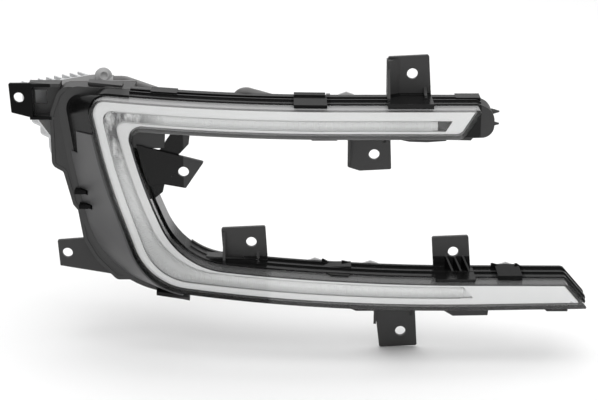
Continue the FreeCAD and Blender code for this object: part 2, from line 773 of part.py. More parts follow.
def tab_hole(name, x, z, seat):
    """A round hole right through a tab plate."""
    hole = doc.addObject("Part::Cylinder", name)
    hole.setExpression("Radius", "sizes.tab_hole_radius")
    hole.Height = 12.0
    hole.Placement = Placement(Vector(0, 0, 0), Rotation(Vector(1, 0, 0), -90))
    hole.setExpression("Placement.Base.x", x)
    hole.setExpression("Placement.Base.y", seat)
    hole.setExpression("Placement.Base.z", z)
    return hole


tab_holes = [
    tab_hole("right_top_hole", "sizes.right_hole_x", "sizes.right_hole_z", "-6"),
    tab_hole("right_bottom_hole", "-sizes.right_hole_x", "-sizes.right_hole_z", "-6"),
    tab_hole("inner_upper_hole", "sizes.inner_hole_upper_x", "sizes.inner_hole_upper_z", "-6"),
    tab_hole("inner_lower_hole", "sizes.inner_hole_lower_x", "sizes.inner_hole_lower_z", "-6"),
    tab_hole("leg_upper_hole", "sizes.leg_hole_upper_x", "sizes.leg_hole_upper_z", "-6"),
    tab_hole("leg_lower_hole", "sizes.leg_hole_lower_x", "sizes.leg_hole_lower_z", "-6"),
    tab_hole("left_upper_hole", "sizes.left_hole_upper_x", "sizes.left_hole_upper_z", "sizes.left_tab_y - 6"),
    tab_hole("left_lower_hole", "sizes.left_hole_lower_x", "sizes.left_hole_lower_z", "sizes.left_tab_y - 6"),
]

# Cap screw bosses inside the chamber

CAP_SCREWS = (
    (-222.0, 75.4), (-186.4, 53.0), (-250.6, -8.0),
    (-240.6, -44.0), (-214.0, -65.0), (-198.0, -57.0),
)


def round_post(name, x, z, y0, y1, radius):
    post = doc.addObject("Part::Cylinder", name)
    post.Radius = radius
    post.Height = y1 - y0
    post.Placement = Placement(Vector(x, y0, z), Rotation(Vector(1, 0, 0), -90))
    return post


def tube(name, x, z, y0, y1, radius, bore):
    """A round post along Y with a round bore through it."""
    rings = [Part.Circle(Vector(0, 0, 0), Vector(0, 0, 1), own) for own in (radius, bore)]
    outline = drawing(name + "_outline", rings, FRONT_VIEW, Vector(x, y0, z))
    return extruded(name, outline, Vector(0, 1, 0), y1 - y0)


cap_bosses = []
for i, (x, z) in enumerate(CAP_SCREWS, start=1):
    cap_bosses.append(tube("cap_boss_%d" % i, x, z, cap_y - 16, cap_y, 3.6, 1.25))

# Catches that hold the side panel at the rim band

catches = []
catch_gaps = []
for i, z in enumerate((0.0, -11.5), start=1):
    x = -249.5 + (0.0 - z) * 0.27
    y = rim_y(x)
    catches.append(box("rim_catch_%d" % i, x - 3.0, x + 6.0, y - 8.0, y + 1.0, z - 1.4, z + 1.4))
    catch_gaps.append(box("rim_catch_gap_%d" % i, x - 3.2, x + 7.4, y - 16.0, y + 1.0, z - 2.2, z + 1.9))

# Rear housing, one black moulding

lens_keep_out = on_layer("lens_keep_out", lens_offset(-0.3), -20.0, size("groove_floor"))
tabs.append(front_slab("rim_end_clip", [
    corner(-190.0, -74.2), corner(-164.5, -78.3), corner(-164.5, -81.8),
    corner(-170.0, -80.6), corner(-190.0, -77.4),
], 11.0, 17.0))
tab_plates = cut(
    "tab_plates",
    cut("tabs_clear_of_lens", fused("tab_group", tabs), lens_keep_out),
    fused("tab_cuts", [bracket_window, bracket_mouth] + tab_holes),
)
small_parts = fused("housing_small_parts", lugs + catches + cap_bosses + spikes)
rear_housing = trough
for piece in (skirt_shell, rim_band, chamber_wall, chamber_front, end_block, tab_plates, small_parts):
    rear_housing = boolean("Fuse", "housing_with_" + piece.Name, rear_housing, piece)

# Side panel: satin cover over the lower skirt

PANEL_FRONT = offset_outline(SKIRT, [-size("panel_proud")] * 4 + [0.0] * 3)
PANEL_BACK = offset_outline(inside(RIM, band), [-size("panel_proud")] * 4 + [0.0] * 3)
panel_loft = leaning_loft("panel_loft", PANEL_FRONT, PANEL_BACK)
PANEL_ZONE = [
    corner(-290, -90), corner(-168, -90),
    corner(-168, size("panel_top_right_z")), corner(-290, size("panel_top_left_z")),
]
panel_zone = front_slab("panel_zone", PANEL_ZONE, -60, 90)
panel_notch = box("panel_notch", -262, -249, -20, 60, 31, 60)
panel_inner = leaning_loft("panel_inner", offset_outline(SKIRT, [-0.05] * 4 + [0.0] * 3),
                           offset_outline(inside(RIM, band), [-0.05] * 4 + [0.0] * 3))
panel_blank = common("panel_blank", cut("panel_shell", panel_loft, panel_inner), panel_zone)
panel_lens_gap = front_prism("panel_lens_gap", lens_offset(-0.5))
side_panel = cut("side_panel", panel_blank, fused("panel_cuts", [panel_notch, panel_lens_gap] + catch_gaps))

# Silver bezel: a plated frame with a slot for the fluted strip

gap = size("bezel_gap")
bezel_face = size("bezel_face")
bezel_back = bezel_face + size("bezel_thickness")
strip_front = bezel_face + size("strip_recess")
strip_shoulder = strip_front + size("strip_thickness")
flange_back = strip_shoulder + 1.5
board_back = size("board_depth")
tray_back = board_back + size("tray_wall")
wide_upper = gap + size("band_upper")
wide_leg = gap + size("band_leg")
wide_lower = gap + size("band_lower")
near_arm = gap + size("edge_upper")
near_leg = gap + size("edge_leg")
STRIP_INSET = [
    wide_upper, wide_leg, wide_leg, wide_lower, wide_lower, size("strip_end_setback"),
    near_arm, near_arm, near_leg, near_leg, near_arm, size("strip_tip_setback"),
]
NEAR_EDGES = (6, 7, 10)


def strip_edges(outward, outward_near):
    """The strip's outline moved outwards; its near edges lie close to the bezel's rim wall."""
    distances = [
        distance - (outward_near if i in NEAR_EDGES else outward) for i, distance in enumerate(STRIP_INSET)
    ]
    radii = {
        1: size("strip_corner_radius") + outward,
        4: size("strip_bow_radius"),
        8: size("inner_knee_radius") + 2 - outward,
        10: 6.5 - outward,
    }
    return outline_edges(offset_outline(LENS, distances, radii))


def on_line(corners, i, x=None, z=None):
    """The point at a given x or z on edge i of an outline."""
    x0, z0, _ = corners[i]
    x1, z1, _ = corners[(i + 1) % len(corners)]
    share = (x - x0) / (x1 - x0) if x is not None else (z - z0) / (z1 - z0)
    return x0 + (x1 - x0) * share, z0 + (z1 - z0) * share


def bend_turn(x, depth=0.0):
    """How far the lamp's plan shape has turned at x, in degrees."""
    away = max(0.0, size("bend_start_x") - x)
    return math.degrees(math.asin(away / (size("bend_radius") - depth)))


rim_inset = gap + size("bezel_wall")
bezel_mass = on_layer("bezel_mass", lens_offset(gap), bezel_face, housing_front)
bezel_pocket = cut(
    "bezel_pocket",
    on_layer("bezel_pocket_all", lens_offset(rim_inset), bezel_back, strip_shoulder + 0.5),
    front_prism("bezel_return_prism", strip_edges(1.45, 1.45)),
)
bezel_behind = on_layer("bezel_behind", lens_offset(rim_inset), strip_shoulder, housing_front + 2)
bezel_slot = on_layer("bezel_slot", strip_edges(0.25, 0.25), bezel_face - 2, strip_shoulder + 1)
bezel_pocketed = cut("bezel_pocketed", bezel_mass, bezel_pocket)
bezel_shell = cut("bezel_shell", cut("bezel_slotted", bezel_pocketed, bezel_slot), bezel_behind)

# Screw posts stand in the channel beside the strip; hooks hold the lower arm
POST_LINE = offset_outline(LENS, 6.5)
upper_post_z = size("upper_arm_top") - 6.5
SCREWS = [
    (8.0, upper_post_z), (-62.0, upper_post_z), (-132.0, upper_post_z), (-196.0, upper_post_z),
    on_line(POST_LINE, 1, z=50.0), on_line(POST_LINE, 2, z=-18.0),
]
post_bore = 0.95
bezel_posts = []
for i, (x, z) in enumerate(SCREWS, start=1):
    ear_y = bend_y(x, board_back)
    front_y = bend_y(x, bezel_back - 0.6)
    bezel_posts.append(tube("bezel_post_%d" % i, x, z, front_y, ear_y, 2.0, post_bore))
hooks = []
HOOK_LINE = offset_outline(LENS, 4.9)
for i, x in enumerate((-128.0, -93.0, -58.0, 72.0), start=1):
    z = on_line(HOOK_LINE, 3 if x < size("lower_arm_middle_x") else 4, x=x)[1]
    hooks.append(along_bend("hook_tongue_%d" % i, x - 4, x + 4, z, z + 1.1, bezel_back - 0.8, 24.0))
    hooks.append(along_bend("hook_barb_%d" % i, x - 4, x + 4, z - 1.3, z + 1.1, rim_depth + 0.3, 24.0))
bezel_fixings = fused("bezel_fixings", bezel_posts + hooks)
reflector_bezel = boolean("Fuse", "bezel_with_posts", bezel_shell, bezel_fixings)

# Fluted light strip: clear inner lens that shows in the bezel's slot

strip_blank = on_layer("strip_blank", strip_edges(1.0, 0.2), strip_front, flange_back)
strip_shoulder_ring = common(
    "strip_shoulder_ring",
    front_prism("strip_shoulder_prism", strip_edges(2.4, 1.6) + strip_edges(0.0, 0.0)),
    layer("strip_shoulder_layer", strip_front - 1, strip_shoulder),
)
strip_whole = cut("strip_whole", strip_blank, strip_shoulder_ring)
light_strip = cut("fluted_strip", strip_whole, box("strip_end_gap", 20, 60, -60, 60, 40, 100))
strip_end = common("strip_end", strip_whole, box("strip_end_zone", 20.2, 60, -60, 60, 40, 100))

# Reflector tray: white trough behind the strip, with ears for the bezel screws

tray_mass = on_layer("tray_mass", strip_edges(1.0, 0.2), flange_back, tray_back)
tray_room = on_layer("tray_room", strip_edges(-0.2, -1.0), flange_back - 1, board_back)
ear_discs = []
ear_bores = []
for i, (x, z) in enumerate(SCREWS, start=1):
    ear_y = bend_y(x, board_back)
    ear_discs.append(round_post("tray_ear_%d" % i, x, z, ear_y, ear_y + 1.8, 2.9))
    ear_bores.append(round_post("tray_ear_bore_%d" % i, x, z, ear_y - 1, ear_y + 6, 1.1))
reflector_tray = cut(
    "reflector_tray_moulding",
    cut("tray_hollowed", fused("tray_with_ears", [tray_mass] + ear_discs), tray_room),
    fused("tray_bores", ear_bores),
)


# Light boards lie on the tray's floor and follow its bend

board_front = board_back - size("board_thickness")
board_blank = on_layer("board_blank", strip_edges(-0.5, -1.3), board_front, board_back)
BOARD_SPLIT_Z = 57.0
BOARD_SPLIT_X = -140.0
split = 0.4
upper_board_zone = box("upper_board_zone", -260, 18, -60, 60, BOARD_SPLIT_Z + split, 100)
leg_board_zone = box("leg_board_zone", -260, BOARD_SPLIT_X - split, -60, 60, -100, BOARD_SPLIT_Z - split)
lower_board_zone = box("lower_board_zone", BOARD_SPLIT_X + split, 43, -60, 60, -100, 30)
upper_board = common("upper_board", board_blank, upper_board_zone)
leg_board = common("leg_board", board_blank, leg_board_zone)
lower_board = common("lower_board", board_blank, lower_board_zone)

STRIP_LINE = offset_outline(LENS, STRIP_INSET)


def strip_middle(x=None, z=None):
    """The middle of the strip at a height on the leg or at an x on the arms."""
    if z is not None:
        outer = on_line(STRIP_LINE, 1 if z > STRIP_LINE[2][1] else 2, z=z)
        inner = on_line(STRIP_LINE, 9 if z > STRIP_LINE[9][1] else 8, z=z)
        return (outer[0] + inner[0]) / 2, z
    outer = on_line(STRIP_LINE, 3 if x < STRIP_LINE[4][0] else 4, x=x)
    inner = on_line(STRIP_LINE, 7 if x < STRIP_LINE[7][0] else 6, x=x)
    return x, (outer[1] + inner[1]) / 2


upper_middle = (STRIP_LINE[0][1] + STRIP_LINE[11][1]) / 2
led_pitch = size("led_pitch")
UPPER_LEDS = [(10.0 - led_pitch * i, upper_middle) for i in range(9)]
LEG_LEDS = [strip_middle(z=46.0 - led_pitch * 0.85 * i) for i in range(4)]
LOWER_LEDS = [strip_middle(x=-128.0 + led_pitch * i) for i in range(8)]


def new_body(name):
    return doc.addObject("PartDesign::Body", name)


def origin_plane(body, role):
    for feature in body.Origin.OriginFeatures:
        if feature.Role == role:
            return feature


def body_sketch(body, name, role, edges, lift=0.0):
    """A sketch on one of the body's own origin planes."""
    sketch = body.newObject("Sketcher::SketchObject", name)
    sketch.AttachmentSupport = (origin_plane(body, role), [""])
    sketch.MapMode = "FlatFace"
    sketch.AttachmentOffset = Placement(Vector(0, 0, lift), Rotation())
    sketch.addGeometry(edges, False)
    return sketch


def rectangle(x0, y0, x1, y1, radius=0.0):
    return outline_edges([
        corner(x0, y0, radius), corner(x1, y0, radius), corner(x1, y1, radius), corner(x0, y1, radius),
    ])


def body_pad(body, name, sketch, length, reversed_way=False):
    pad = body.newObject("PartDesign::Pad", name)
    pad.Profile = sketch
    if isinstance(length, str):
        pad.setExpression("Length", length)
    else:
        pad.Length = length
    pad.Reversed = reversed_way
    body.Tip = pad
    return pad


def body_pocket(body, name, sketch, length, reversed_way=False):
    pocket = body.newObject("PartDesign::Pocket", name)
    pocket.Profile = sketch
    pocket.Length = length
    pocket.Reversed = reversed_way
    body.Tip = pocket
    return pocket


def turned_body(name, corners):
    """A body turned round its Z axis from a half outline drawn in X and Z."""
    body = new_body(name)
    sketch = body_sketch(body, name + "_profile", "XZ_Plane", outline_edges(corners))
    turned = body.newObject("PartDesign::Revolution", name + "_turned")
    turned.Profile = sketch
    turned.ReferenceAxis = (sketch, ["V_Axis"])
    turned.Angle = 360
    body.Tip = turned
    return body


def copies(name, source, placements):
    """One group of linked copies of a piece."""
    links = []
    for i, placement in enumerate(placements, start=1):
        link = doc.addObject("App::Link", "%s_%d" % (name, i))
        link.LinkedObject = source
        link.LinkPlacement = placement
        links.append(link)
    group = doc.addObject("Part::Compound", name + "_group")
    group.Links = links
    return group


def facing_front(x, z, depth, spin=0.0):
    """A placement on a layer with local Z square out of the lens face."""
    turn = Rotation(Vector(0, 0, 1), -bend_turn(x, depth)) * Rotation(Vector(1, 0, 0), 90)
    return Placement(Vector(x, bend_y(x, depth), z), turn * Rotation(Vector(0, 0, 1), spin))


side = size("led_side") / 2
led = new_body("led_master")
led_outline = body_sketch(led, "led_outline", "XY_Plane", rectangle(-side, -side, side, side))
body_pad(led, "led_block", led_outline, "sizes.led_height")
led_seat = board_front - 0.02
upper_leds = copies("upper_leds", led, [facing_front(x, z, led_seat) for x, z in UPPER_LEDS])
leg_leds = copies("leg_leds", led, [facing_front(x, z, led_seat) for x, z in LEG_LEDS])
lower_leds = copies("lower_leds", led, [facing_front(x, z, led_seat) for x, z in LOWER_LEDS])

# Small bridge connectors join the three boards
connector = new_body("bridge_connector_master")
body_pad(connector, "bridge_block",
         body_sketch(connector, "bridge_outline", "XY_Plane", rectangle(-1.9, -3.6, 1.9, 3.6, 0.5)), 2.6)
leg_top = strip_middle(z=BOARD_SPLIT_Z)
knee = strip_middle(x=BOARD_SPLIT_X)
board_connectors = copies("board_connectors", connector, [
    facing_front(leg_top[0], leg_top[1], led_seat), facing_front(knee[0], knee[1] + 0.3, led_seat, 90.0),
])


def screw(name, head_radius, head_height, shank_radius, length):
    """A pan-head screw turned from one profile, its shank down local Z from the head's seat."""
    return turned_body(name, [
        corner(0, head_height), corner(head_radius * 0.7, head_height, 0.5),
        corner(head_radius, head_height * 0.4, 0.5), corner(head_radius, 0),
        corner(shank_radius, 0), corner(shank_radius, -length + 0.6), corner(0, -length),
    ])


small_screw = screw("small_screw_master", 2.0, 1.5, 0.9, 9.5)
REARWARD = Rotation(Vector(1, 0, 0), -90)
bezel_screws = copies("bezel_screws", small_screw, [
    Placement(Vector(x, bend_y(x, board_back) + 1.82, z), REARWARD) for x, z in SCREWS
])

# Seal bead between the lens foot and the groove of the housing

lens_seal = ring_on_layer(
    "lens_seal_bead", 0.1, size("lens_wall") - 0.1, size("lens_foot") + 0.02, size("groove_floor") - 0.02
)

# Rear cap of the chamber: plate, pod for the driver and a gland boss for the sleeve

pod_bottom = size("pod_bottom_z")
pod_top = size("pod_top_z")
pod_left = Vector(size("pod_left_x"), size("pod_left_y"), 0)
pod_back = Vector(size("pod_back_x"), size("pod_back_y"), 0)
pod_right = size("pod_right_x")
pod_wall = size("pod_wall")
cap_front = cap_y
cap_back = cap_y + 3.0
along_pod = (pod_back - pod_left).normalize()
out_of_pod = Vector(-along_pod.y, along_pod.x, 0)
pod_side = size("pod_side_x")
pod_side_y = pod_left.y + (pod_side - pod_left.x) * along_pod.y / along_pod.x
POD = [
    corner(pod_side, cap_front), corner(pod_side, pod_side_y),
    corner(pod_back.x, pod_back.y, 3.0), corner(pod_right, pod_back.y, 3.0), corner(pod_right, cap_front),
]
POD_ROOM = [
    corner(-262.0, cap_front - 1),
    corner(-262.0, pod_left.y + (-262.0 - pod_left.x) * along_pod.y / along_pod.x - pod_wall * 1.3),
    corner(pod_back.x + 1.2, pod_back.y - pod_wall, 2.0),
    corner(pod_right - pod_wall, pod_back.y - pod_wall, 2.0),
    corner(pod_right - pod_wall, cap_front - 1),
]
cap_plate = front_slab("cap_plate", CHAMBER, cap_front, cap_back)
pod_block = plan_web("pod_block", POD, pod_bottom, pod_top)
pod_hollow = plan_web("pod_hollow", POD_ROOM, pod_bottom + pod_wall, pod_top - pod_wall)

# The heat sink's own frame: X along the pod's slanted face, Y out of it, Z up
pod_length = (pod_back - pod_left).Length
pod_turn = Rotation(Vector(0, 0, 1), math.degrees(math.atan2(along_pod.y, along_pod.x)))
SINK = Placement(pod_left, pod_turn)


def on_pod(u, w, z, turn=None):
    """A placement in the heat sink's frame."""
    return SINK.multiply(Placement(Vector(u, w, z), turn or Rotation()))


def pod_box(name, u0, u1, w0, w1, z0, z1):
    solid = box(name, 0, u1 - u0, 0, w1 - w0, 0, z1 - z0)
    solid.Placement = on_pod(u0, w0, z0)
    return solid


PEDESTAL = (31.0, 47.5, 18.0, 68.0)
SINK_SCREWS = ((26.5, 17.0), (26.5, 72.0), (50.0, 17.0), (50.0, 72.0))
SOCKET = (-217.0, -3.0)
BREATHER = (-214.0, -26.0)
cap_bores = [round_post("cap_bore_%d" % i, x, z, cap_front - 1, cap_back + 1, 1.6)
             for i, (x, z) in enumerate(CAP_SCREWS, start=1)]
cap_bores.append(round_post("breather_bore", BREATHER[0], BREATHER[1], cap_front - 1, cap_back + 1, 2.5))
cap_bores.append(box(
    "socket_opening", SOCKET[0] - 9, SOCKET[0] + 9, cap_front - 1, cap_back + 1, SOCKET[1] - 4, SOCKET[1] + 4
))
cap_bores.append(pod_box(
    "pedestal_opening", PEDESTAL[0] - 0.4, PEDESTAL[1] + 0.4, -6.0, 1.0, PEDESTAL[2] - 0.4, PEDESTAL[3] + 0.4
))
for i, (u, z) in enumerate(SINK_SCREWS, start=1):
    bore = round_post("sink_bore_%d" % i, 0, 0, 0, 6.0, 1.25)
    bore.Placement = on_pod(u, -2.4, z, REARWARD)
    cap_bores.append(bore)
rear_cap = cut(
    "rear_cap_moulding",
    cut("cap_hollowed", fused("cap_mass", [cap_plate, pod_block]), pod_hollow),
    fused("cap_openings", cap_bores),
)
cap_seal = extruded(
    "cap_seal_ring",
    drawing("cap_seal_outline",
            outline_edges(offset_outline(CHAMBER, 0.3)) + outline_edges(offset_outline(CHAMBER, 1.7)),
            FRONT_VIEW, Vector(0, cap_front - 1, 0)),
    Vector(0, 1, 0), 1.0,
)
cap_screw = screw("cap_screw_master", 2.9, 2.2, 1.2, 14.0)
cap_screws = copies(
    "cap_screws", cap_screw, [Placement(Vector(x, cap_back, z), REARWARD) for x, z in CAP_SCREWS]
)

# Heat sink: cast base with fins and a pedestal that reaches the driver board

heat_sink = new_body("heat_sink_casting")
gasket = 0.8
base_back = gasket + 3.0
sink_low, sink_high = 12.6, 77.5
body_pad(heat_sink, "sink_base", body_sketch(
    heat_sink, "sink_base_outline", "XY_Plane", rectangle(-1.5, gasket, 52.0, base_back), sink_low),
    sink_high - sink_low)
body_pad(heat_sink, "sink_pedestal", body_sketch(
    heat_sink, "sink_pedestal_outline", "XY_Plane",
    rectangle(PEDESTAL[0], -3.6, PEDESTAL[1], gasket + 1.0), PEDESTAL[2]), PEDESTAL[3] - PEDESTAL[2])
fin = body_pad(heat_sink, "sink_fin", body_sketch(
    heat_sink, "sink_fin_outline", "XY_Plane",
    outline_edges([
        corner(-1.5, base_back - 1), corner(0.9, base_back - 1),
        corner(0.4, 17.8, 0.4), corner(-0.9, 17.8, 0.4)]),
    sink_low), sink_high - sink_low)
fins = heat_sink.newObject("PartDesign::LinearPattern", "sink_fins")
fins.Originals = [fin]
fins.Direction = (origin_plane(heat_sink, "X_Axis"), [""])
fins.Length = 7.2 * 7
fins.Occurrences = 8
heat_sink.Tip = fins
body_pocket(heat_sink, "sink_trim", body_sketch(
    heat_sink, "sink_trim_outline", "XZ_Plane",
    outline_edges([
        corner(-6, 60), corner(-6, -2), corner(26.0, -2), corner(20.0, 24.0), corner(-1.6, 56.0)])), 40.0)
for i, (u, z) in enumerate(SINK_SCREWS, start=1):
    drill = body_sketch(heat_sink, "sink_screw_outline_%d" % i, "XZ_Plane",
                        [Part.Circle(Vector(u, z, 0), Vector(0, 0, 1), 1.6)])
    body_pocket(heat_sink, "sink_screw_hole_%d" % i, drill, base_back + 0.5)
    spot = body_sketch(heat_sink, "sink_spot_outline_%d" % i, "XZ_Plane",
                       [Part.Circle(Vector(u, z, 0), Vector(0, 0, 1), 3.4)], -base_back)
    body_pocket(heat_sink, "sink_spot_face_%d" % i, spot, 30.0)
heat_sink.Placement = SINK

sink_gasket = cut(
    "sink_gasket_sheet",
    pod_box("sink_gasket_blank", 28.6, 48.6, 0.02, gasket - 0.02, 13.5, 76.0),
    pod_box(
        "sink_gasket_window", PEDESTAL[0] - 0.4, PEDESTAL[1] + 0.4, -1, 2,
        PEDESTAL[2] - 0.4, PEDESTAL[3] + 0.4),
)
sink_screw = screw("sink_screw_master", 2.6, 2.0, 1.2, 6.0)
sink_screws = copies(
    "sink_screws", sink_screw, [on_pod(u, base_back + 0.02, z, REARWARD) for u, z in SINK_SCREWS]
)

# Driver board on the pedestal, with its pad, screws and tall components

board_w = -3.6 - 0.6
driver_thickness = 1.6
thermal_pad = pod_box("thermal_pad_sheet", 32.0, 46.5, board_w + 0.02, -3.62, 25.0, 60.0)
driver_board = new_body("driver_board_panel")
DRIVER_SCREWS = ((39.25, 21.0), (39.25, 64.5))
body_pad(driver_board, "driver_panel", body_sketch(
    driver_board, "driver_outline", "XZ_Plane", rectangle(30.0, 16.0, 49.0, 71.0, 1.0), -board_w),
    driver_thickness)
for i, (u, z) in enumerate(DRIVER_SCREWS, start=1):
    body_pocket(driver_board, "driver_hole_%d" % i, body_sketch(
        driver_board, "driver_hole_outline_%d" % i, "XZ_Plane",
        [Part.Circle(Vector(u, z, 0), Vector(0, 0, 1), 1.1)],
        -board_w + 4), 10.0)
    body_pocket(heat_sink, "pedestal_bore_%d" % i, body_sketch(
        heat_sink, "pedestal_bore_outline_%d" % i, "XZ_Plane",
        [Part.Circle(Vector(u, z, 0), Vector(0, 0, 1), 0.95)],
        4.6), 6.0)
driver_board.Placement = SINK
driver_screw = screw("driver_screw_master", 2.0, 1.4, 0.9, 6.0)
parts_w = board_w - driver_thickness
driver_screws = copies("driver_screws", driver_screw, [
    on_pod(u, parts_w - 0.02, z, Rotation(Vector(1, 0, 0), 90)) for u, z in DRIVER_SCREWS
])
driver_parts = [
    pod_box("choke", 33.0, 42.0, parts_w - 5.5, parts_w - 0.02, 24.0, 33.0),
    pod_box("controller", 35.0, 42.0, parts_w - 1.2, parts_w - 0.02, 37.0, 44.0),
    pod_box("input_header", 42.5, 47.5, parts_w - 6.0, parts_w - 0.02, 47.0, 60.0),
    pod_box("output_header", 31.5, 36.0, parts_w - 6.0, parts_w - 0.02, 49.0, 58.0),
]
for i, z in enumerate((28.0, 38.5), start=1):
    can = doc.addObject("Part::Cylinder", "capacitor_%d" % i)
    can.Radius = 2.6
    can.Height = 8.0
    can.Placement = on_pod(45.5, parts_w - 0.02, z, Rotation(Vector(1, 0, 0), 90))
    driver_parts.append(can)
driver_components = doc.addObject("Part::Compound", "driver_components_group")
driver_components.Links = driver_parts

# Connector socket on the cap, with pins and a face seal

socket_seat = 0.8
connector_socket = new_body("socket_moulding")
body_pad(connector_socket, "socket_flange", body_sketch(
    connector_socket, "socket_flange_outline", "XY_Plane", rectangle(-15, -10, 15, 10, 2.5), socket_seat),
    2.4)
body_pad(connector_socket, "socket_shroud", body_sketch(
    connector_socket, "socket_shroud_outline", "XY_Plane", rectangle(-12, -7, 12, 7, 2.0), socket_seat + 1),
    15.0)
body_pocket(connector_socket, "socket_mouth", body_sketch(
    connector_socket, "socket_mouth_outline", "XY_Plane", rectangle(-10.4, -5.4, 10.4, 5.4, 1.2),
    socket_seat + 16), 12.6)
body_pad(connector_socket, "socket_latch", body_sketch(
    connector_socket, "socket_latch_outline", "XY_Plane", rectangle(-3, 6.5, 3, 8.6, 0.4), socket_seat + 8),
    5.0)
for i in range(4):
    x = -6.0 + 4.0 * i
    body_pocket(connector_socket, "socket_pin_hole_%d" % (i + 1), body_sketch(
        connector_socket, "socket_pin_outline_%d" % (i + 1), "XY_Plane",
        rectangle(x - 0.55, -0.55, x + 0.55, 0.55),
        socket_seat + 5), 6.0)
SOCKET_SEAT = Placement(Vector(SOCKET[0], cap_back, SOCKET[1]), REARWARD)
connector_socket.Placement = SOCKET_SEAT
pin = new_body("pin_master")
pin_outline = body_sketch(pin, "pin_outline", "XY_Plane", rectangle(-0.5, -0.5, 0.5, 0.5), -5.0)
body_pad(pin, "pin_blade", pin_outline, 17.0)
connector_pins = copies("connector_pins", pin, [
    SOCKET_SEAT.multiply(Placement(Vector(-6.0 + 4.0 * i, 0, 0), Rotation())) for i in range(4)
])
connector_seal = new_body("socket_seal_ring")
body_pad(connector_seal, "socket_seal_pad", body_sketch(
    connector_seal, "socket_seal_outline", "XY_Plane",
    rectangle(-14, -9, 14, 9, 2.0) + rectangle(-11.5, -6.5, 11.5, 6.5, 1.5), 0.02), socket_seat - 0.04)
connector_seal.Placement = SOCKET_SEAT

# Breather cap on the rear cap

breather_cap = turned_body("breather_cap_moulding", [
    corner(0, 5.0), corner(6.6, 5.0, 1.2), corner(6.6, 1.2, 0.4), corner(4.6, 1.2), corner(4.6, 0.02),
    corner(2.4, 0.02), corner(2.4, -4.0), corner(0, -4.0),
])
breather_cap.Placement = Placement(Vector(BREATHER[0], cap_back, BREATHER[1]), REARWARD)

# Harness sleeve behind the upper arm, held at both ends

sleeve_start = pod_right + 7.64
plug_left, plug_z = -66.0, 73.0
plug_y = bend_y(plug_left, upper_depth) + 6.6
SLEEVE = [
    (Vector(sleeve_start, 82.0, 74.2), 0), (Vector(-217.0, 82.0, 74.2), 8), (Vector(-172.0, 42.0, 69.4), 30),
    (Vector(-129.5, 21.5, 62.5), 7), (Vector(-124.2, 18.6, 82.4), 7), (Vector(-86.0, plug_y, plug_z), 20),
    (Vector(plug_left, plug_y, plug_z), 0),
]


def rounded_path(points):
    """Straight runs through the points, joined by tangent arcs."""
    edges = []
    start = points[0][0]
    for i in range(1, len(points) - 1):
        point, radius = points[i]
        before = (points[i - 1][0] - point).normalize()
        after = (points[i + 1][0] - point).normalize()
        angle = before.getAngle(after)
        setback = radius / math.tan(angle / 2)
        middle = (before + after).normalize() * (radius / math.sin(angle / 2) - radius)
        edges.append(Part.LineSegment(start, point + before * setback).toShape())
        edges.append(Part.Arc(point + before * setback, point + middle, point + after * setback).toShape())
        start = point + after * setback
    edges.append(Part.LineSegment(start, points[-1][0]).toShape())
    return Part.Wire(edges)


sleeve_path = doc.addObject("Part::Feature", "sleeve_path")
sleeve_path.Shape = rounded_path(SLEEVE)
first_run = (SLEEVE[1][0] - SLEEVE[0][0]).normalize()
sleeve_section = doc.addObject("Part::Circle", "sleeve_section")
sleeve_section.Radius = 4.8
sleeve_section.Placement = Placement(SLEEVE[0][0], Rotation(Vector(0, 0, 1), first_run))
harness_sleeve = doc.addObject("Part::Sweep", "harness_sleeve_run")
harness_sleeve.Sections = [sleeve_section]
harness_sleeve.Spine = (sleeve_path, ["Edge%d" % (i + 1) for i in range(len(sleeve_path.Shape.Edges))])
harness_sleeve.Solid = True

fitting_start = Vector(pod_right + 0.02, 82.0, 74.2)
sleeve_fitting = turned_body("sleeve_fitting_moulding", [
    corner(0, 0), corner(6.8, 0, 0.3), corner(6.8, 3.4, 0.8),
    corner(5.6, 4.2), corner(5.6, 7.6, 0.5), corner(0, 7.6),
])
sleeve_fitting.Placement = Placement(fitting_start, Rotation(Vector(0, 1, 0), 90))

sleeve_plug = new_body("sleeve_plug_moulding")
body_pad(sleeve_plug, "plug_block", body_sketch(
    sleeve_plug, "plug_outline", "XY_Plane", rectangle(0.02, -6.5, 17.0, 6.5, 1.6), 0.3), 12.4)
body_pad(sleeve_plug, "plug_rib", body_sketch(
    sleeve_plug, "plug_rib_outline", "XY_Plane", rectangle(6.0, -7.6, 9.0, 7.6, 0.5), 0.3), 13.6)
sleeve_plug.Placement = Placement(Vector(plug_left, plug_y - 6.6, plug_z), REARWARD)

# Every piece under its own name

PIECES = {
    "outer_lens": outer_lens,
    "lens_seal": lens_seal,
    "rear_housing": rear_housing,
    "side_panel": side_panel,
    "reflector_bezel": reflector_bezel,
    "bezel_screws": bezel_screws,
    "fluted_light_strip": light_strip,
    "strip_end_piece": strip_end,
    "reflector_tray": reflector_tray,
    "upper_light_board": upper_board,
    "leg_light_board": leg_board,
    "lower_light_board": lower_board,
    "upper_leds": upper_leds,
    "leg_leds": leg_leds,
    "lower_leds": lower_leds,
    "board_connectors": board_connectors,
    "rear_cap": rear_cap,
    "cap_seal": cap_seal,
    "cap_screws": cap_screws,
    "heat_sink": heat_sink,
    "heat_sink_gasket": sink_gasket,
    "heat_sink_screws": sink_screws,
    "thermal_pad": thermal_pad,
    "driver_board": driver_board,
    "driver_screws": driver_screws,
    "driver_components": driver_components,
    "connector_socket": connector_socket,
    "connector_pins": connector_pins,
    "connector_seal": connector_seal,
    "breather_cap": breather_cap,
    "harness_sleeve": harness_sleeve,
    "sleeve_fitting": sleeve_fitting,
    "sleeve_plug": sleeve_plug,
}
for label, piece in PIECES.items():
    piece.Label = label
doc.recompute()

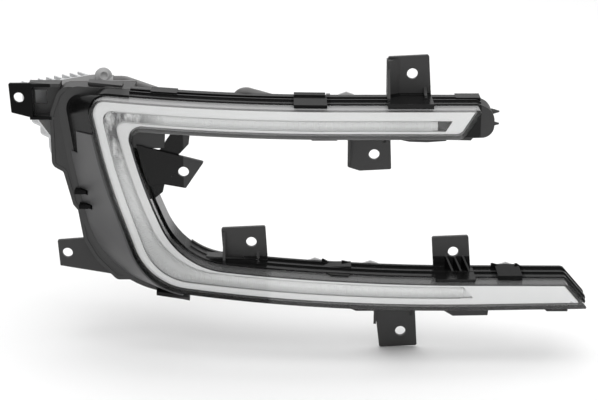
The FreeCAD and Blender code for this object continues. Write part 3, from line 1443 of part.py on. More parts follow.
for item in doc.Objects:
    if "Invalid" in item.State or "Error" in item.State:
        raise RuntimeError("%s did not rebuild: %s" % (item.Name, item.State))
for label, piece in PIECES.items():
    shape = piece.Shape
    if shape.isNull() or not shape.isValid() or not shape.Solids:
        raise RuntimeError("%s has no valid solid" % label)
    shape.exportStep("parts/%s.step" % label)
    print("%-20s %8.0f mm3 in %d" % (label, shape.Volume, len(shape.Solids)))
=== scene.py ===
import math

import bmesh
import bpy
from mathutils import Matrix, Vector
from mathutils.bvhtree import BVHTree


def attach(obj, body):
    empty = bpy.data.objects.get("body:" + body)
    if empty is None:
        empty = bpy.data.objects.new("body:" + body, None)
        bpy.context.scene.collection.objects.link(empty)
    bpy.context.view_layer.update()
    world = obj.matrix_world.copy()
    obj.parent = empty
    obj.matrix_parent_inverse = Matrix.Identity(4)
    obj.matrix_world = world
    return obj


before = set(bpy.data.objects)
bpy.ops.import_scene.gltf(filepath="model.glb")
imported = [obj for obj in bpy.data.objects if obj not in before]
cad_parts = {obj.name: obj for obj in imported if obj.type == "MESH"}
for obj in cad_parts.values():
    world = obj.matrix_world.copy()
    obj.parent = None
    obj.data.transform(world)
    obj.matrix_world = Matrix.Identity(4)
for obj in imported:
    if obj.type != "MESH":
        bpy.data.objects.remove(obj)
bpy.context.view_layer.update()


# Rear housing
# One black moulding of filled polypropylene: trough, flared skirt, rim band, chamber and tabs.
# The mould is polished along the arms and finely eroded on the tabs, skirt and rim band.

def new_material(name):
    """An empty node material, with its Principled shader linked to the output."""
    material = bpy.data.materials.new(name)
    material.use_nodes = True
    nodes = material.node_tree.nodes
    nodes.clear()
    output = nodes.new("ShaderNodeOutputMaterial")
    shader = nodes.new("ShaderNodeBsdfPrincipled")
    material.node_tree.links.new(shader.outputs["BSDF"], output.inputs["Surface"])
    return material, shader


def add_node(material, kind, **settings):
    """A node of a kind; settings name its properties or its input sockets."""
    node = material.node_tree.nodes.new(kind)
    for name, value in settings.items():
        socket = name.replace("_", " ")
        if hasattr(node, name):
            setattr(node, name, value)
        else:
            node.inputs[socket].default_value = value
    return node


def link(material, source, target):
    material.node_tree.links.new(source, target)


def in_place(material):
    """Where a point of the part lies, in metres."""
    return add_node(material, "ShaderNodeTexCoord").outputs["Object"]


def clouds(material, place, scale, detail=3.0, rough=0.55, stretch=None):
    """Soft noise over the part, if need be drawn out along an axis."""
    if stretch:
        mapping = add_node(material, "ShaderNodeMapping")
        mapping.inputs["Scale"].default_value = stretch
        link(material, place, mapping.inputs["Vector"])
        place = mapping.outputs["Vector"]
    noise = add_node(material, "ShaderNodeTexNoise", Scale=scale, Detail=detail, Roughness=rough)
    link(material, place, noise.inputs["Vector"])
    return noise.outputs["Fac"]


def ranged(material, source, low, high, from_low=0.3, from_high=0.7):
    """A value stretched from one range to another."""
    node = add_node(material, "ShaderNodeMapRange")
    node.inputs["From Min"].default_value = from_low
    node.inputs["From Max"].default_value = from_high
    node.inputs["To Min"].default_value = low
    node.inputs["To Max"].default_value = high
    link(material, source, node.inputs["Value"])
    return node.outputs["Result"]


def tinted(material, share, first, second):
    """One colour turning into another as share goes from 0 to 1."""
    mix = add_node(material, "ShaderNodeMix", data_type="RGBA")
    colour_in = [socket for socket in mix.inputs if socket.type == "RGBA"]
    colour_in[0].default_value = (*first, 1.0)
    colour_in[1].default_value = (*second, 1.0)
    link(material, share, mix.inputs["Factor"])
    return [socket for socket in mix.outputs if socket.type == "RGBA"][0]


def worn(colour, factor):
    return tuple(channel * factor for channel in colour)


def grained(material, shader, height, depth, edge=0.0003):
    """Surface relief of a real depth in metres, over edges that are softened by a small radius."""
    bump = add_node(material, "ShaderNodeBump", Strength=1.0, Distance=depth)
    link(material, height, bump.inputs["Height"])
    if edge:
        bevel = add_node(material, "ShaderNodeBevel", samples=4, Radius=edge)
        link(material, bevel.outputs["Normal"], bump.inputs["Normal"])
    link(material, bump.outputs["Normal"], shader.inputs["Normal"])


def moulded(name, colour, rough, grain=2600.0, depth=0.00004, specular=0.5, edge=0.0003):
    """Moulded plastic: even colour with faint flow clouds and an eroded grain."""
    material, shader = new_material(name)
    place = in_place(material)
    flow = clouds(material, place, 26.0, 4.0)
    link(material, tinted(material, flow, worn(colour, 0.82), worn(colour, 1.18)), shader.inputs["Base Color"])
    link(material, ranged(material, flow, rough - 0.06, rough + 0.06), shader.inputs["Roughness"])
    shader.inputs["Specular IOR Level"].default_value = specular
    grained(material, shader, clouds(material, place, grain, 2.0), depth, edge)
    return material


def dress(material, *nodes):
    """Gives CAD nodes their finish."""
    for node in nodes:
        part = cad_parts[node]
        for slot in part.material_slots:
            slot.material = material


def height_share(material, place, axis, low, high):
    """0 below a level and 1 above another, along one axis of the part."""
    split = add_node(material, "ShaderNodeSeparateXYZ")
    link(material, place, split.inputs["Vector"])
    return ranged(material, split.outputs[axis], 0.0, 1.0, low, high)


def multiplied(material, first, second, operation="MULTIPLY"):
    node = add_node(material, "ShaderNodeMath", operation=operation)
    for socket, value in zip(node.inputs, (first, second)):
        if isinstance(value, float):
            socket.default_value = value
        else:
            link(material, value, socket)
    return node.outputs["Value"]


housing_black, housing_shader = new_material("housing_black")
housing_place = in_place(housing_black)


def zone(material, place, *limits):
    """1 inside all the stated limits and 0 outside; a limit is an axis and the levels of 0 and 1."""
    share = None
    for axis, low, high in limits:
        own = height_share(material, place, axis, low, high)
        share = own if share is None else multiplied(material, share, own)
    return share


# The rim band leans back to the left: this is 0 in front of its plane and 1 behind it
RIM_LEAN, RIM_PLACE = 0.32, 0.0433
rim_split = add_node(housing_black, "ShaderNodeSeparateXYZ")
link(housing_black, housing_place, rim_split.inputs["Vector"])
leaning = multiplied(housing_black, rim_split.outputs["X"], RIM_LEAN)
rim_depth = multiplied(housing_black, leaning, rim_split.outputs["Y"], "ADD")
behind_rim = ranged(housing_black, rim_depth, 0.0, 1.0, -RIM_PLACE, -RIM_PLACE + 0.0003)
eroded = multiplied(housing_black, behind_rim, zone(housing_black, housing_place, ("X", -0.190, -0.192)))
for limits in (
    [("Z", 0.0866, 0.0870)],
    [("Z", -0.0786, -0.0792)],
    [("Z", -0.0405, -0.0398), ("Z", 0.0556, 0.0550), ("X", -0.1665, -0.1655)],
    [("X", 0.0516, 0.0522), ("Z", 0.0500, 0.0505)],
):
    eroded = multiplied(housing_black, eroded, zone(housing_black, housing_place, *limits), "MAXIMUM")
left_of_leg = zone(housing_black, housing_place, ("X", -0.196, -0.198))
band_face = multiplied(housing_black, behind_rim, ranged(housing_black, rim_depth, 1.0, 0.0, -0.0427, -0.0425))
band_face = multiplied(housing_black, band_face, left_of_leg)
flow_marks = clouds(housing_black, housing_place, 22.0, 4.0)
polished_colour = tinted(housing_black, flow_marks, (0.003, 0.003, 0.003), (0.007, 0.007, 0.007))
eroded_colour = tinted(housing_black, flow_marks, (0.014, 0.014, 0.014), (0.022, 0.0215, 0.0215))
housing_mix = add_node(housing_black, "ShaderNodeMix", data_type="RGBA")
link(housing_black, eroded, housing_mix.inputs["Factor"])
mix_colours = [socket for socket in housing_mix.inputs if socket.type == "RGBA"]
link(housing_black, polished_colour, mix_colours[0])
link(housing_black, eroded_colour, mix_colours[1])
band_mix = add_node(housing_black, "ShaderNodeMix", data_type="RGBA")
link(housing_black, band_face, band_mix.inputs["Factor"])
band_colours = [socket for socket in band_mix.inputs if socket.type == "RGBA"]
link(housing_black, [s for s in housing_mix.outputs if s.type == "RGBA"][0], band_colours[0])
band_colours[1].default_value = (0.024, 0.024, 0.024, 1.0)
link(housing_black, [s for s in band_mix.outputs if s.type == "RGBA"][0], housing_shader.inputs["Base Color"])
link(housing_black, ranged(housing_black, eroded, 0.13, 0.46, 0.0, 1.0), housing_shader.inputs["Roughness"])
dark_skirt = zone(housing_black, housing_place, ("X", -0.200, -0.212))
for limits in (
    [("X", -0.0860, -0.0850), ("X", -0.0570, -0.0580), ("Z", 0.0800, 0.0805)],
    [("X", 0.0640, 0.0650), ("X", 0.0895, 0.0885), ("Z", -0.0530, -0.0525)],
):
    dark_skirt = multiplied(housing_black, dark_skirt, zone(housing_black, housing_place, *limits), "MAXIMUM")
polish = ranged(housing_black, dark_skirt, 0.20, 0.06, 0.0, 1.0)
sheen = add_node(housing_black, "ShaderNodeMix", data_type="FLOAT")
link(housing_black, eroded, sheen.inputs["Factor"])
link(housing_black, polish, sheen.inputs["A"])
sheen.inputs["B"].default_value = 0.5
link(housing_black, sheen.outputs["Result"], housing_shader.inputs["Specular IOR Level"])
grained(housing_black, housing_shader, clouds(housing_black, housing_place, 2400.0, 2.0), 0.00003)
dress(housing_black, "rear_housing")


# Side panel
# Thin satin cover of the lower skirt, moulded in a lighter grey and held by two catches at the rim.
# Its fine eroded grain scatters the light, so it has no mirror spots.

panel_grey = moulded("panel_grey", (0.050, 0.050, 0.051), 0.44, 3200.0, 0.00004)
dress(panel_grey, "side_panel")


# Outer lens
# One clear polycarbonate cap with a hard coat, glued into the groove of the housing.
# Clear wall: what is behind shows through, and gloss grows towards grazing angles.

lens_clear, lens_shader = new_material("lens_clear")
lens_output = [n for n in lens_clear.node_tree.nodes if n.type == "OUTPUT_MATERIAL"][0]
lens_place = in_place(lens_clear)
lens_shader.inputs["Base Color"].default_value = (0.9, 0.9, 0.9, 1.0)
lens_shader.inputs["Roughness"].default_value = 0.04
lens_shader.inputs["Specular IOR Level"].default_value = 0.6
clear_through = add_node(lens_clear, "ShaderNodeBsdfTransparent")
clear_through.inputs["Color"].default_value = (0.985, 0.987, 0.985, 1.0)
gloss = add_node(lens_clear, "ShaderNodeBsdfGlossy")
# Painted shade on the reflection: the gloss is darker on the left part of the lower arm's walls
reflection_shade_zone = zone(lens_clear, lens_place, ("X", -0.100, -0.104), ("Z", 0.0, -0.03))
link(lens_clear, tinted(lens_clear, reflection_shade_zone, (0.95, 0.95, 0.95), (0.30, 0.30, 0.30)), gloss.inputs["Color"])
gloss.inputs["Roughness"].default_value = 0.05
facing = add_node(lens_clear, "ShaderNodeFresnel", IOR=1.45)
lens_mix = add_node(lens_clear, "ShaderNodeMixShader")
link(lens_clear, facing.outputs["Fac"], lens_mix.inputs[0])
link(lens_clear, clear_through.outputs[0], lens_mix.inputs[1])
link(lens_clear, gloss.outputs[0], lens_mix.inputs[2])
# Painted sheen: walls that face up get a grey diffuse coat for the light they reflect, stronger on the upper arm than
# on the lower
lens_normal = add_node(lens_clear, "ShaderNodeTexCoord").outputs["Normal"]
facing_up_share = height_share(lens_clear, lens_normal, "Z", 0.60, 0.92)
painted_sheen_diffuse = add_node(lens_clear, "ShaderNodeBsdfDiffuse", Color=(0.62, 0.62, 0.62, 1.0))
painted_sheen_mix = add_node(lens_clear, "ShaderNodeMixShader")
painted_sheen_share = ranged(lens_clear, zone(lens_clear, lens_place, ("Z", 0.0, 0.03)), 0.10, 0.34, 0.0, 1.0)
link(lens_clear, multiplied(lens_clear, facing_up_share, painted_sheen_share), painted_sheen_mix.inputs[0])
link(lens_clear, lens_mix.outputs[0], painted_sheen_mix.inputs[1])
link(lens_clear, painted_sheen_diffuse.outputs[0], painted_sheen_mix.inputs[2])
link(lens_clear, painted_sheen_mix.outputs[0], lens_output.inputs["Surface"])
lens_clear.node_tree.nodes.remove(lens_shader)
dress(lens_clear, "outer_lens")


# Lens seal
# Bead of black adhesive in the groove between the lens foot and the housing.

seal_black = moulded("seal_black", (0.02, 0.02, 0.02), 0.7, 900.0, 0.00015, 0.3, 0.0)
dress(seal_black, "lens_seal")


# Reflector bezel
# Moulded frame with a vacuum plated satin silver skin, which shows fine flow lines along each arm.

silver, silver_shader = new_material("satin_silver")
silver_place = in_place(silver)
sheen_clouds = clouds(silver, silver_place, 14.0, 3.0)
link(silver, tinted(silver, sheen_clouds, (0.77, 0.77, 0.775), (0.86, 0.86, 0.86)), silver_shader.inputs["Base Color"])
silver_shader.inputs["Metallic"].default_value = 0.6
link(silver, ranged(silver, sheen_clouds, 0.27, 0.36), silver_shader.inputs["Roughness"])
grained(silver, silver_shader, clouds(silver, silver_place, 1800.0, 2.0), 0.000012, 0.0004)
dress(silver, "reflector_bezel")


# Fluted light strip
# Clear inner lens moulded with fine upright flutes, backed by the white tray, so it looks pale grey.
# The flutes are one thin pressed sheet of ridges over the strip's front face.

FACE_Y = -0.034
BEND_START = -0.050
BEND_RADIUS = 0.520


def bend_y(x, depth):
    """Y of a point at a depth behind the lens face; the lamp bends back left of the bend's start."""
    if x >= BEND_START:
        return FACE_Y + depth
    own = BEND_RADIUS - depth
    return FACE_Y + BEND_RADIUS - math.sqrt(own * own - (BEND_START - x) ** 2)


def flat_depth(point):
    """The depth behind the lens face of a point of the part."""
    if point.x >= BEND_START:
        return point.y - FACE_Y
    away = Vector((point.x - BEND_START, point.y - FACE_Y - BEND_RADIUS))
    return BEND_RADIUS - away.length


def flattened(node):
    """A search tree of a node with the lamp's bend taken out, so its side walls stand upright."""
    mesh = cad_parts[node].data
    points = [Vector((v.co.x, flat_depth(v.co), v.co.z)) for v in mesh.vertices]
    return BVHTree.FromPolygons(points, [tuple(p.vertices) for p in mesh.polygons])


def crossing(tree, inside, across, depth):
    """The two ends of a line across the strip through a point inside it."""
    start = Vector((inside[0], depth, inside[1]))
    ends = []
    for sign in (1.0, -1.0):
        way = Vector((across[0], 0.0, across[1])) * sign
        hit = tree.ray_cast(start, way)[0]
        if hit is None:
            return None
        ends.append(hit)
    return ends


# Middle line of the strip: x, z and the way across it, in metres and degrees
STRIP_STATIONS = (
    (0.0200, 0.0683, 90.0),
    (-0.1980, 0.0683, 90.0),
    (-0.2120, 0.0672, 110.0),
    (-0.2185, 0.0610, 148.0),
    (-0.2182, 0.0520, 186.0),
    (-0.2152, 0.0410, 195.0),
    (-0.2050, 0.0070, 198.0),
    (-0.1930, -0.0227, 203.0),
    (-0.1850, -0.0360, 212.0),
    (-0.1750, -0.0450, 228.0),
    (-0.1650, -0.0493, 247.0),
    (-0.1550, -0.0514, 258.0),
    (-0.1400, -0.0528, 265.0),
    (-0.0800, -0.0561, 267.0),
    (-0.0440, -0.0580, 267.5),
    (0.0000, -0.0597, 269.0),
    (0.0440, -0.0602, 270.0),
)
FLUTE_PITCH = 0.0017
FLUTE_HEIGHT = 0.00032
SHEET_THICKNESS = 0.0018
STEPS_PER_FLUTE = 6
STRIP_FRONT = 0.008


def strip_lines(spacing):
    """Even steps along the middle line, each with its point and the way across."""
    lines = []
    for (x0, z0, turn0), (x1, z1, turn1) in zip(STRIP_STATIONS, STRIP_STATIONS[1:]):
        run = math.hypot(x1 - x0, z1 - z0)
        count = max(2, round(run / spacing))
        for i in range(count):
            share = i / count
            angle = math.radians(turn0 + (turn1 - turn0) * share)
            lines.append(((x0 + (x1 - x0) * share, z0 + (z1 - z0) * share), (math.cos(angle), math.sin(angle))))
    return lines


def mesh_piece(name, points, faces, material, smooth=True):
    """A mesh object of the lamp that rides on its body."""
    mesh = bpy.data.meshes.new(name)
    mesh.from_pydata(points, [], faces)
    mesh.materials.append(material)
    clean = bmesh.new()
    clean.from_mesh(mesh)
    bmesh.ops.recalc_face_normals(clean, faces=clean.faces)
    clean.to_mesh(mesh)
    clean.free()
    for face in mesh.polygons:
        face.use_smooth = smooth
    piece = bpy.data.objects.new(name, mesh)
    bpy.context.scene.collection.objects.link(piece)
    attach(piece, "root")
    return piece


strip_pale, strip_shader = new_material("strip_pale")
strip_place = in_place(strip_pale)
strip_clouds = clouds(strip_pale, strip_place, 18.0, 3.0)
strip_colour = tinted(strip_pale, strip_clouds, (0.86, 0.865, 0.87), (0.94, 0.94, 0.94))

# Light turns the corner of the strip, where its facets bend it; this is painted as dark grey waves of shade near the
# corner
CORNER_MIDDLE = (-0.2165, 0.0, 0.0640)
flat_place = add_node(strip_pale, "ShaderNodeVectorMath", operation="MULTIPLY")
link(strip_pale, strip_place, flat_place.inputs[0])
flat_place.inputs[1].default_value = (1.0, 0.0, 1.0)
to_corner = add_node(strip_pale, "ShaderNodeVectorMath", operation="DISTANCE")
link(strip_pale, flat_place.outputs["Vector"], to_corner.inputs[0])
to_corner.inputs[1].default_value = CORNER_MIDDLE
near_corner = ranged(strip_pale, to_corner.outputs["Value"], 1.0, 0.0, 0.012, 0.042)
facet_shade_waves = ranged(strip_pale, clouds(strip_pale, strip_place, 150.0, 3.0, 0.6, (1.0, 0.1, 0.45)), 0.0, 1.0, 0.36, 0.56)
corner_mix = add_node(strip_pale, "ShaderNodeMix", data_type="RGBA")
link(strip_pale, multiplied(strip_pale, near_corner, facet_shade_waves), corner_mix.inputs["Factor"])
corner_colours = [socket for socket in corner_mix.inputs if socket.type == "RGBA"]
link(strip_pale, strip_colour, corner_colours[0])
corner_colours[1].default_value = (0.13, 0.13, 0.135, 1.0)
link(strip_pale, [s for s in corner_mix.outputs if s.type == "RGBA"][0], strip_shader.inputs["Base Color"])
strip_shader.inputs["Roughness"].default_value = 0.22
strip_shader.inputs["Specular IOR Level"].default_value = 0.6
strip_shader.inputs["Metallic"].default_value = 0.1
grained(strip_pale, strip_shader, clouds(strip_pale, strip_place, 900.0, 2.0), 0.00001, 0.0003)
dress(strip_pale, "fluted_light_strip")

end_dark = moulded("strip_end_dark", (0.02, 0.02, 0.02), 0.3, 1500.0, 0.00003)
dress(end_dark, "strip_end_piece")

strip_tree = flattened("fluted_light_strip")
flute_points, flute_faces = [], []
for i, (middle, across) in enumerate(strip_lines(FLUTE_PITCH / STEPS_PER_FLUTE)):
    ends = crossing(strip_tree, middle, across, STRIP_FRONT + 0.001)
    if ends is None:
        continue
    phase = (i % STEPS_PER_FLUTE) / STEPS_PER_FLUTE
    rise = FLUTE_HEIGHT * abs(math.sin(math.pi * phase)) + SHEET_THICKNESS
    inset = (ends[0] - ends[1]).normalized() * 0.00055
    first, second = ends[0] - inset, ends[1] + inset
    for end, depth in ((first, STRIP_FRONT - rise), (second, STRIP_FRONT - rise),
                       (second, STRIP_FRONT + 0.0003), (first, STRIP_FRONT + 0.0003)):
        flute_points.append((end.x, bend_y(end.x, depth), end.z))
rows = len(flute_points) // 4
for row in range(rows - 1):
    a, b = row * 4, row * 4 + 4
    for k in range(4):
        flute_faces.append((a + k, a + (k + 1) % 4, b + (k + 1) % 4, b + k))
flute_faces.append((0, 1, 2, 3))
flute_faces.append(tuple((rows - 1) * 4 + k for k in (3, 2, 1, 0)))
flutes = mesh_piece("strip_flutes", flute_points, flute_faces, strip_pale)

# Thin grey ribbons along both edges of the strip paint a fine shadow line between the strip and the bezel; the outer
# one is painted darker towards the bottom, darkest along the lower arm
BORDER_WIDTH = 0.00055
border_pale = moulded("strip_border_pale", (0.74, 0.74, 0.74), 0.3, 1500.0, 0.00002)
border_outer, border_shader = new_material("strip_border_shaded")
outer_shadow_share = height_share(border_outer, in_place(border_outer), "Z", -0.050, -0.036)
border_colour = tinted(border_outer, outer_shadow_share, (0.34, 0.34, 0.345), (0.74, 0.74, 0.74))
link(border_outer, border_colour, border_shader.inputs["Base Color"])
border_shader.inputs["Roughness"].default_value = 0.3
for side, name, border in ((0, "strip_border_outer", border_outer), (1, "strip_border_inner", border_pale)):
    border_points, border_faces = [], []
    for middle, across in strip_lines(0.004):
        ends = crossing(strip_tree, middle, across, STRIP_FRONT + 0.001)
        if ends is None:
            continue
        inward = (ends[1 - side] - ends[side]).normalized()
        for end, depth in ((ends[side], STRIP_FRONT + 0.0003), (ends[side] + inward * BORDER_WIDTH, STRIP_FRONT + 0.0003),
                           (ends[side] + inward * BORDER_WIDTH, STRIP_FRONT - SHEET_THICKNESS - 0.00027),
                           (ends[side], STRIP_FRONT - SHEET_THICKNESS - 0.00027)):
            border_points.append((end.x, bend_y(end.x, depth), end.z))
    for start in range(0, len(border_points) - 4, 4):
        for k in range(4):
            border_faces.append((start + k, start + (k + 1) % 4, start + 4 + (k + 1) % 4, start + 4 + k))
    border_faces.append((0, 1, 2, 3))
    border_faces.append(tuple(len(border_points) - 4 + k for k in (3, 2, 1, 0)))
    mesh_piece(name, border_points, border_faces, border)


# Reflector tray
# Glossy white trough behind the strip that throws the light forwards.

tray_white = moulded("tray_white", (0.80, 0.80, 0.79), 0.3, 1500.0, 0.00002)
dress(tray_white, "reflector_tray")


# Light boards, emitters and bridge connectors
# White solder resist on laminate, small yellow phosphor emitters, and nylon bridge connectors.

board_white = moulded("board_white", (0.72, 0.73, 0.70), 0.45, 1200.0, 0.00002)
dress(board_white, "upper_light_board", "leg_light_board", "lower_light_board")
phosphor = moulded("phosphor", (0.82, 0.66, 0.14), 0.35, 2000.0, 0.00002)
dress(phosphor, "upper_leds", "leg_leds", "lower_leds")
nylon = moulded("nylon", (0.70, 0.67, 0.58), 0.5)
dress(nylon, "board_connectors")


# Screws
# Zinc plated pan head screws: bezel, rear cap, heat sink and driver board.

zinc, zinc_shader = new_material("zinc_plate")
zinc_place = in_place(zinc)
zinc_clouds = clouds(zinc, zinc_place, 700.0, 3.0)
link(zinc, tinted(zinc, zinc_clouds, (0.50, 0.50, 0.48), (0.68, 0.68, 0.65)), zinc_shader.inputs["Base Color"])
zinc_shader.inputs["Metallic"].default_value = 1.0
link(zinc, ranged(zinc, zinc_clouds, 0.24, 0.42), zinc_shader.inputs["Roughness"])
grained(zinc, zinc_shader, clouds(zinc, zinc_place, 3000.0, 2.0), 0.00001, 0.0002)
dress(zinc, "bezel_screws", "cap_screws", "heat_sink_screws", "driver_screws")


# Rear cap
# Mid grey filled nylon cover with a pod for the driver; the outside is finely eroded.

cap_grey = moulded("cap_grey", (0.125, 0.125, 0.125), 0.5, 2000.0, 0.00005)
dress(cap_grey, "rear_cap")
seal_orange = moulded("seal_orange", (0.42, 0.11, 0.03), 0.6, 900.0, 0.00004, 0.35, 0.0)
dress(seal_orange, "cap_seal", "connector_seal", "heat_sink_gasket")


# Heat sink
# Die cast aluminium, shot blasted: pale grey with a fine peened skin, its tone varying in soft clouds.

cast, cast_shader = new_material("blasted_aluminium")
cast_place = in_place(cast)
cast_clouds = clouds(cast, cast_place, 60.0, 4.0)
link(cast, tinted(cast, cast_clouds, (0.44, 0.445, 0.45), (0.62, 0.625, 0.63)), cast_shader.inputs["Base Color"])
cast_shader.inputs["Metallic"].default_value = 0.85
link(cast, ranged(cast, cast_clouds, 0.46, 0.6), cast_shader.inputs["Roughness"])
grained(cast, cast_shader, clouds(cast, cast_place, 1700.0, 3.0), 0.00009, 0.0004)
dress(cast, "heat_sink")


# Driver electronics
# Green-black board on a soft silicone pad, with black component bodies, inside the pod.

driver_green = moulded("driver_green", (0.02, 0.10, 0.05), 0.4, 1400.0, 0.00002)
dress(driver_green, "driver_board")
pad_blue = moulded("pad_blue", (0.32, 0.38, 0.45), 0.7, 900.0, 0.00004, 0.3, 0.0)
dress(pad_blue, "thermal_pad")
component_black = moulded("component_black", (0.03, 0.03, 0.03), 0.5)
dress(component_black, "driver_components")


# Connector socket
# Dark grey glass filled nylon shroud with four tin plated pins, on the rear cap.

socket_grey = moulded("socket_grey", (0.05, 0.05, 0.052), 0.42, 2400.0, 0.00004)
dress(socket_grey, "connector_socket", "breather_cap")
tin = moulded("tin_pins", (0.72, 0.66, 0.50), 0.3, 2600.0, 0.00001)
dress(tin, "connector_pins")


# Harness sleeve
# Smooth dark rubber sleeve, with a pale grey fitting at the pod and a dark plug on the arm.

sleeve_dark = moulded("sleeve_dark", (0.085, 0.083, 0.082), 0.36, 1500.0, 0.00003, 0.5, 0.0)
dress(sleeve_dark, "harness_sleeve")
fitting_grey = moulded("fitting_grey", (0.30, 0.30, 0.30), 0.42, 2200.0, 0.00003)
dress(fitting_grey, "sleeve_fitting")

# Domed cap of the fitting: flange and crown turned about an axis that leans forwards and up
CAP_MIDDLE = Vector((-0.2325, 0.0775, 0.0800))
CAP_AXIS = Vector((0.30, -0.88, 0.36)).normalized()
CAP_PROFILE = ((0.0, -0.0030), (0.0060, -0.0030), (0.0068, -0.0022), (0.0068, -0.0004), (0.0062, 0.0002),
               (0.0044, 0.0003), (0.0040, 0.0012), (0.0030, 0.0016), (0.0024, 0.0004), (0.0, 0.0002))
CAP_SEGMENTS = 40
turn = Vector((0, 0, 1)).rotation_difference(CAP_AXIS)
cap_points = [CAP_MIDDLE + CAP_AXIS * CAP_PROFILE[0][1]]
for radius, height in CAP_PROFILE[1:-1]:
    for k in range(CAP_SEGMENTS):
        angle = 2.0 * math.pi * k / CAP_SEGMENTS
        own = Vector((radius * math.cos(angle), radius * math.sin(angle), height))
        cap_points.append(CAP_MIDDLE + turn @ own)
cap_points.append(CAP_MIDDLE + CAP_AXIS * CAP_PROFILE[-1][1])
rings = len(CAP_PROFILE) - 2
cap_faces = []
for k in range(CAP_SEGMENTS):
    after = (k + 1) % CAP_SEGMENTS
    cap_faces.append((0, 1 + after, 1 + k))
    for ring in range(rings - 1):
        low, high = 1 + ring * CAP_SEGMENTS, 1 + (ring + 1) * CAP_SEGMENTS
        cap_faces.append((low + k, low + after, high + after, high + k))
    last = 1 + (rings - 1) * CAP_SEGMENTS
    cap_faces.append((last + k, last + after, len(cap_points) - 1))
mesh_piece("fitting_cap", cap_points, cap_faces, fitting_grey)

plug_dark = moulded("plug_dark", (0.05, 0.05, 0.05), 0.42, 2200.0, 0.00004)
dress(plug_dark, "sleeve_plug")


# Edge flanges of the housing
# Thin black flanges on the housing's front lip, where it hooks behind the bumper skin.
# They are pressed outlines of one depth, with a small round on their free corners.

def plate_piece(name, outline, front, back, material, bevel=0.0004):
    """A plate with a front view outline, between two depths, with softened edges."""
    count = len(outline)
    points = [(x, y, z) for y in (front, back) for x, z in outline]
    faces = [tuple(range(count)), tuple(reversed(range(count, 2 * count)))]
    faces += [(k, (k + 1) % count, count + (k + 1) % count, count + k) for k in range(count)]
    piece = mesh_piece(name, points, faces, material, False)
    soften = piece.modifiers.new("softened", "BEVEL")
    soften.width = bevel
    soften.segments = 2
    return piece


flange_black = moulded("flange_black", (0.012, 0.012, 0.012), 0.36, 2200.0, 0.00003)
FLANGES = (
    ((-0.0721, 0.0580), (-0.0721, 0.0560), (-0.0705, 0.0550), (-0.0523, 0.0550), (-0.0523, 0.0580)),
    ((-0.0089, 0.0580), (-0.0089, 0.0562), (0.0000, 0.0542), (0.0130, 0.0538), (0.0271, 0.0548), (0.0271, 0.0580)),
    ((0.0271, 0.0580), (0.0271, 0.0556), (0.0450, 0.0552), (0.0470, 0.0580)),
    ((-0.0418, -0.0700), (-0.0418, -0.0762), (-0.0373, -0.0782), (-0.0230, -0.0782), (-0.0230, -0.0700)),
    ((0.0236, -0.0700), (0.0236, -0.0748), (0.0357, -0.0822), (0.0620, -0.0817), (0.0632, -0.0700)),
    ((0.1049, -0.0700), (0.1049, -0.0770), (0.1064, -0.0786), (0.1222, -0.0786), (0.1222, -0.0700)),
)
FLANGE_FRONT, FLANGE_BACK = -0.0195, -0.0172
for i, outline in enumerate(FLANGES, start=1):
    plate_piece("edge_flange_%d" % i, outline, FLANGE_FRONT, FLANGE_BACK, flange_black)

# The web that closes the corner between the leg and the upper arm
CORNER_WEB = ((-0.2040, 0.0440), (-0.1800, 0.0440), (-0.1790, 0.0580), (-0.2040, 0.0580))
plate_piece("corner_web", CORNER_WEB, -0.0010, 0.0010, flange_black)

# Barbs of the strap clips on the lower arm's rear edge, and a thin black sheet on the lens wall that paints the left
# clip's reflection
clip_black = moulded("clip_black", (0.004, 0.004, 0.004), 0.5, 2200.0, 0.00002, 0.12, 0.0)
CLIP_BARBS = (
    ((-0.0630, -0.0459), (-0.0630, -0.0427), (-0.0618, -0.0425), (-0.0575, -0.0449)),
    ((-0.0480, -0.0466), (-0.0480, -0.0438), (-0.0465, -0.0440), (-0.0406, -0.0454), (-0.0406, -0.0466)),
    ((0.0650, -0.0490), (0.0650, -0.0462), (0.0665, -0.0460), (0.0725, -0.0480)),
    ((0.0830, -0.0488), (0.0830, -0.0462), (0.0845, -0.0462), (0.0890, -0.0490)),
)
for i, outline in enumerate(CLIP_BARBS, start=1):
    plate_piece("clip_barb_%d" % i, outline, -0.0030, -0.0015, clip_black, 0.0002)
# Painted reflection: a thin black sheet lying on the lens wall stands in for the left clip's reflection in it
WALL_SLOPE = -0.0555
reflection_points = []
for rise in (0.0001, 0.0010):
    for x, y in ((-0.0615, -0.0195), (-0.0405, -0.0195), (-0.0435, -0.0252), (-0.0560, -0.0252)):
        reflection_points.append((x, y, -0.0473 + WALL_SLOPE * (x + 0.066) + rise))
reflection_faces = [(0, 1, 2, 3), (7, 6, 5, 4), (0, 4, 5, 1), (1, 5, 6, 2), (2, 6, 7, 3), (3, 7, 4, 0)]
mesh_piece("clip_reflection_sheet", reflection_points, reflection_faces, clip_black, False)


# Lens lugs
# Small clear wedges of the lens wall that stand above the housing's rear edge and hold the lens while the glue sets.

lug_clear = moulded("lug_clear", (0.55, 0.55, 0.55), 0.25, 1800.0, 0.00001)
LUG_REACH = 0.0060
LUG_HEIGHT = 0.0022
for i, (x, y, z) in enumerate((
    (-0.0455, 0.0040, 0.0838), (-0.0682, 0.0000, -0.0448), (-0.0262, 0.0000, -0.0470), (0.0764, 0.0000, -0.0482),
), start=1):
    outline = ((x - LUG_REACH, z - 0.0030), (x - LUG_REACH, z), (x, z + LUG_HEIGHT), (x + LUG_REACH, z),
               (x + LUG_REACH, z - 0.0030))
    plate_piece("lens_lug_%d" % i, outline, y, y + 0.0016, lug_clear)
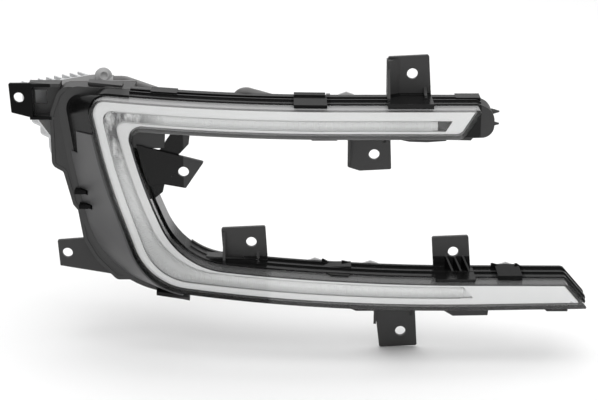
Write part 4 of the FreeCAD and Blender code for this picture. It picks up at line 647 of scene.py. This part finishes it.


# Photo studio
# Pale floor, a broad soft light from above, weaker ones in front, behind and at the right, and the camera at the
# photograph's angle.

floor_mesh = bpy.data.meshes.new("studio_floor")
floor_mesh.from_pydata([(-6, -6, -0.1146), (6, -6, -0.1146), (6, 6, -0.1146), (-6, 6, -0.1146)], [], [(0, 1, 2, 3)])
floor = bpy.data.objects.new("studio_floor", floor_mesh)
bpy.context.scene.collection.objects.link(floor)
floor_white, floor_shader = new_material("studio_white")
floor_clouds = clouds(floor_white, in_place(floor_white), 3.0, 2.0)
link(floor_white, tinted(floor_white, floor_clouds, (0.86, 0.86, 0.86), (0.88, 0.88, 0.88)), floor_shader.inputs["Base Color"])
floor_shader.inputs["Roughness"].default_value = 0.9
floor_mesh.materials.append(floor_white)

world = bpy.data.worlds.new("studio_world")
world.use_nodes = True
world.node_tree.nodes["Background"].inputs["Color"].default_value = (1.0, 1.0, 1.0, 1.0)
world.node_tree.nodes["Background"].inputs["Strength"].default_value = 0.52
bpy.context.scene.world = world
bpy.context.scene.view_settings.view_transform = "Standard"


def soft_light(name, place, target, width, height, power):
    """A rectangular studio light that faces a point."""
    data = bpy.data.lights.new(name, "AREA")
    data.shape = "RECTANGLE"
    data.size = width
    data.size_y = height
    data.energy = power
    lamp = bpy.data.objects.new(name, data)
    lamp.location = place
    lamp.rotation_euler = (Vector(target) - Vector(place)).to_track_quat("-Z", "Y").to_euler()
    bpy.context.scene.collection.objects.link(lamp)


LAMP_MIDDLE = (-0.08, -0.01, 0.0)
soft_light("top_softbox", (-0.1, -0.1, 2.0), LAMP_MIDDLE, 3.2, 3.2, 50.0)
soft_light("front_softbox", (-0.1, -2.2, 0.6), LAMP_MIDDLE, 2.8, 1.0, 8.0)
soft_light("back_softbox", (-0.3, 1.6, 1.1), LAMP_MIDDLE, 1.8, 0.5, 6.0)
soft_light("right_softbox", (1.4, -0.9, 0.7), LAMP_MIDDLE, 0.5, 1.0, 4.0)

CAMERA_PLACE = Vector((-0.0802, -1.1553, 0.3788))
CAMERA_TARGET = Vector((-0.0802, -0.0140, 0.0080))
camera_data = bpy.data.cameras.new("studio_camera")
camera_data.lens = 97.6
camera_data.sensor_width = 36.0
camera = bpy.data.objects.new("studio_camera", camera_data)
camera.location = CAMERA_PLACE
camera.rotation_euler = (CAMERA_TARGET - CAMERA_PLACE).to_track_quat("-Z", "Y").to_euler()
bpy.context.scene.collection.objects.link(camera)
bpy.context.scene.camera = camera
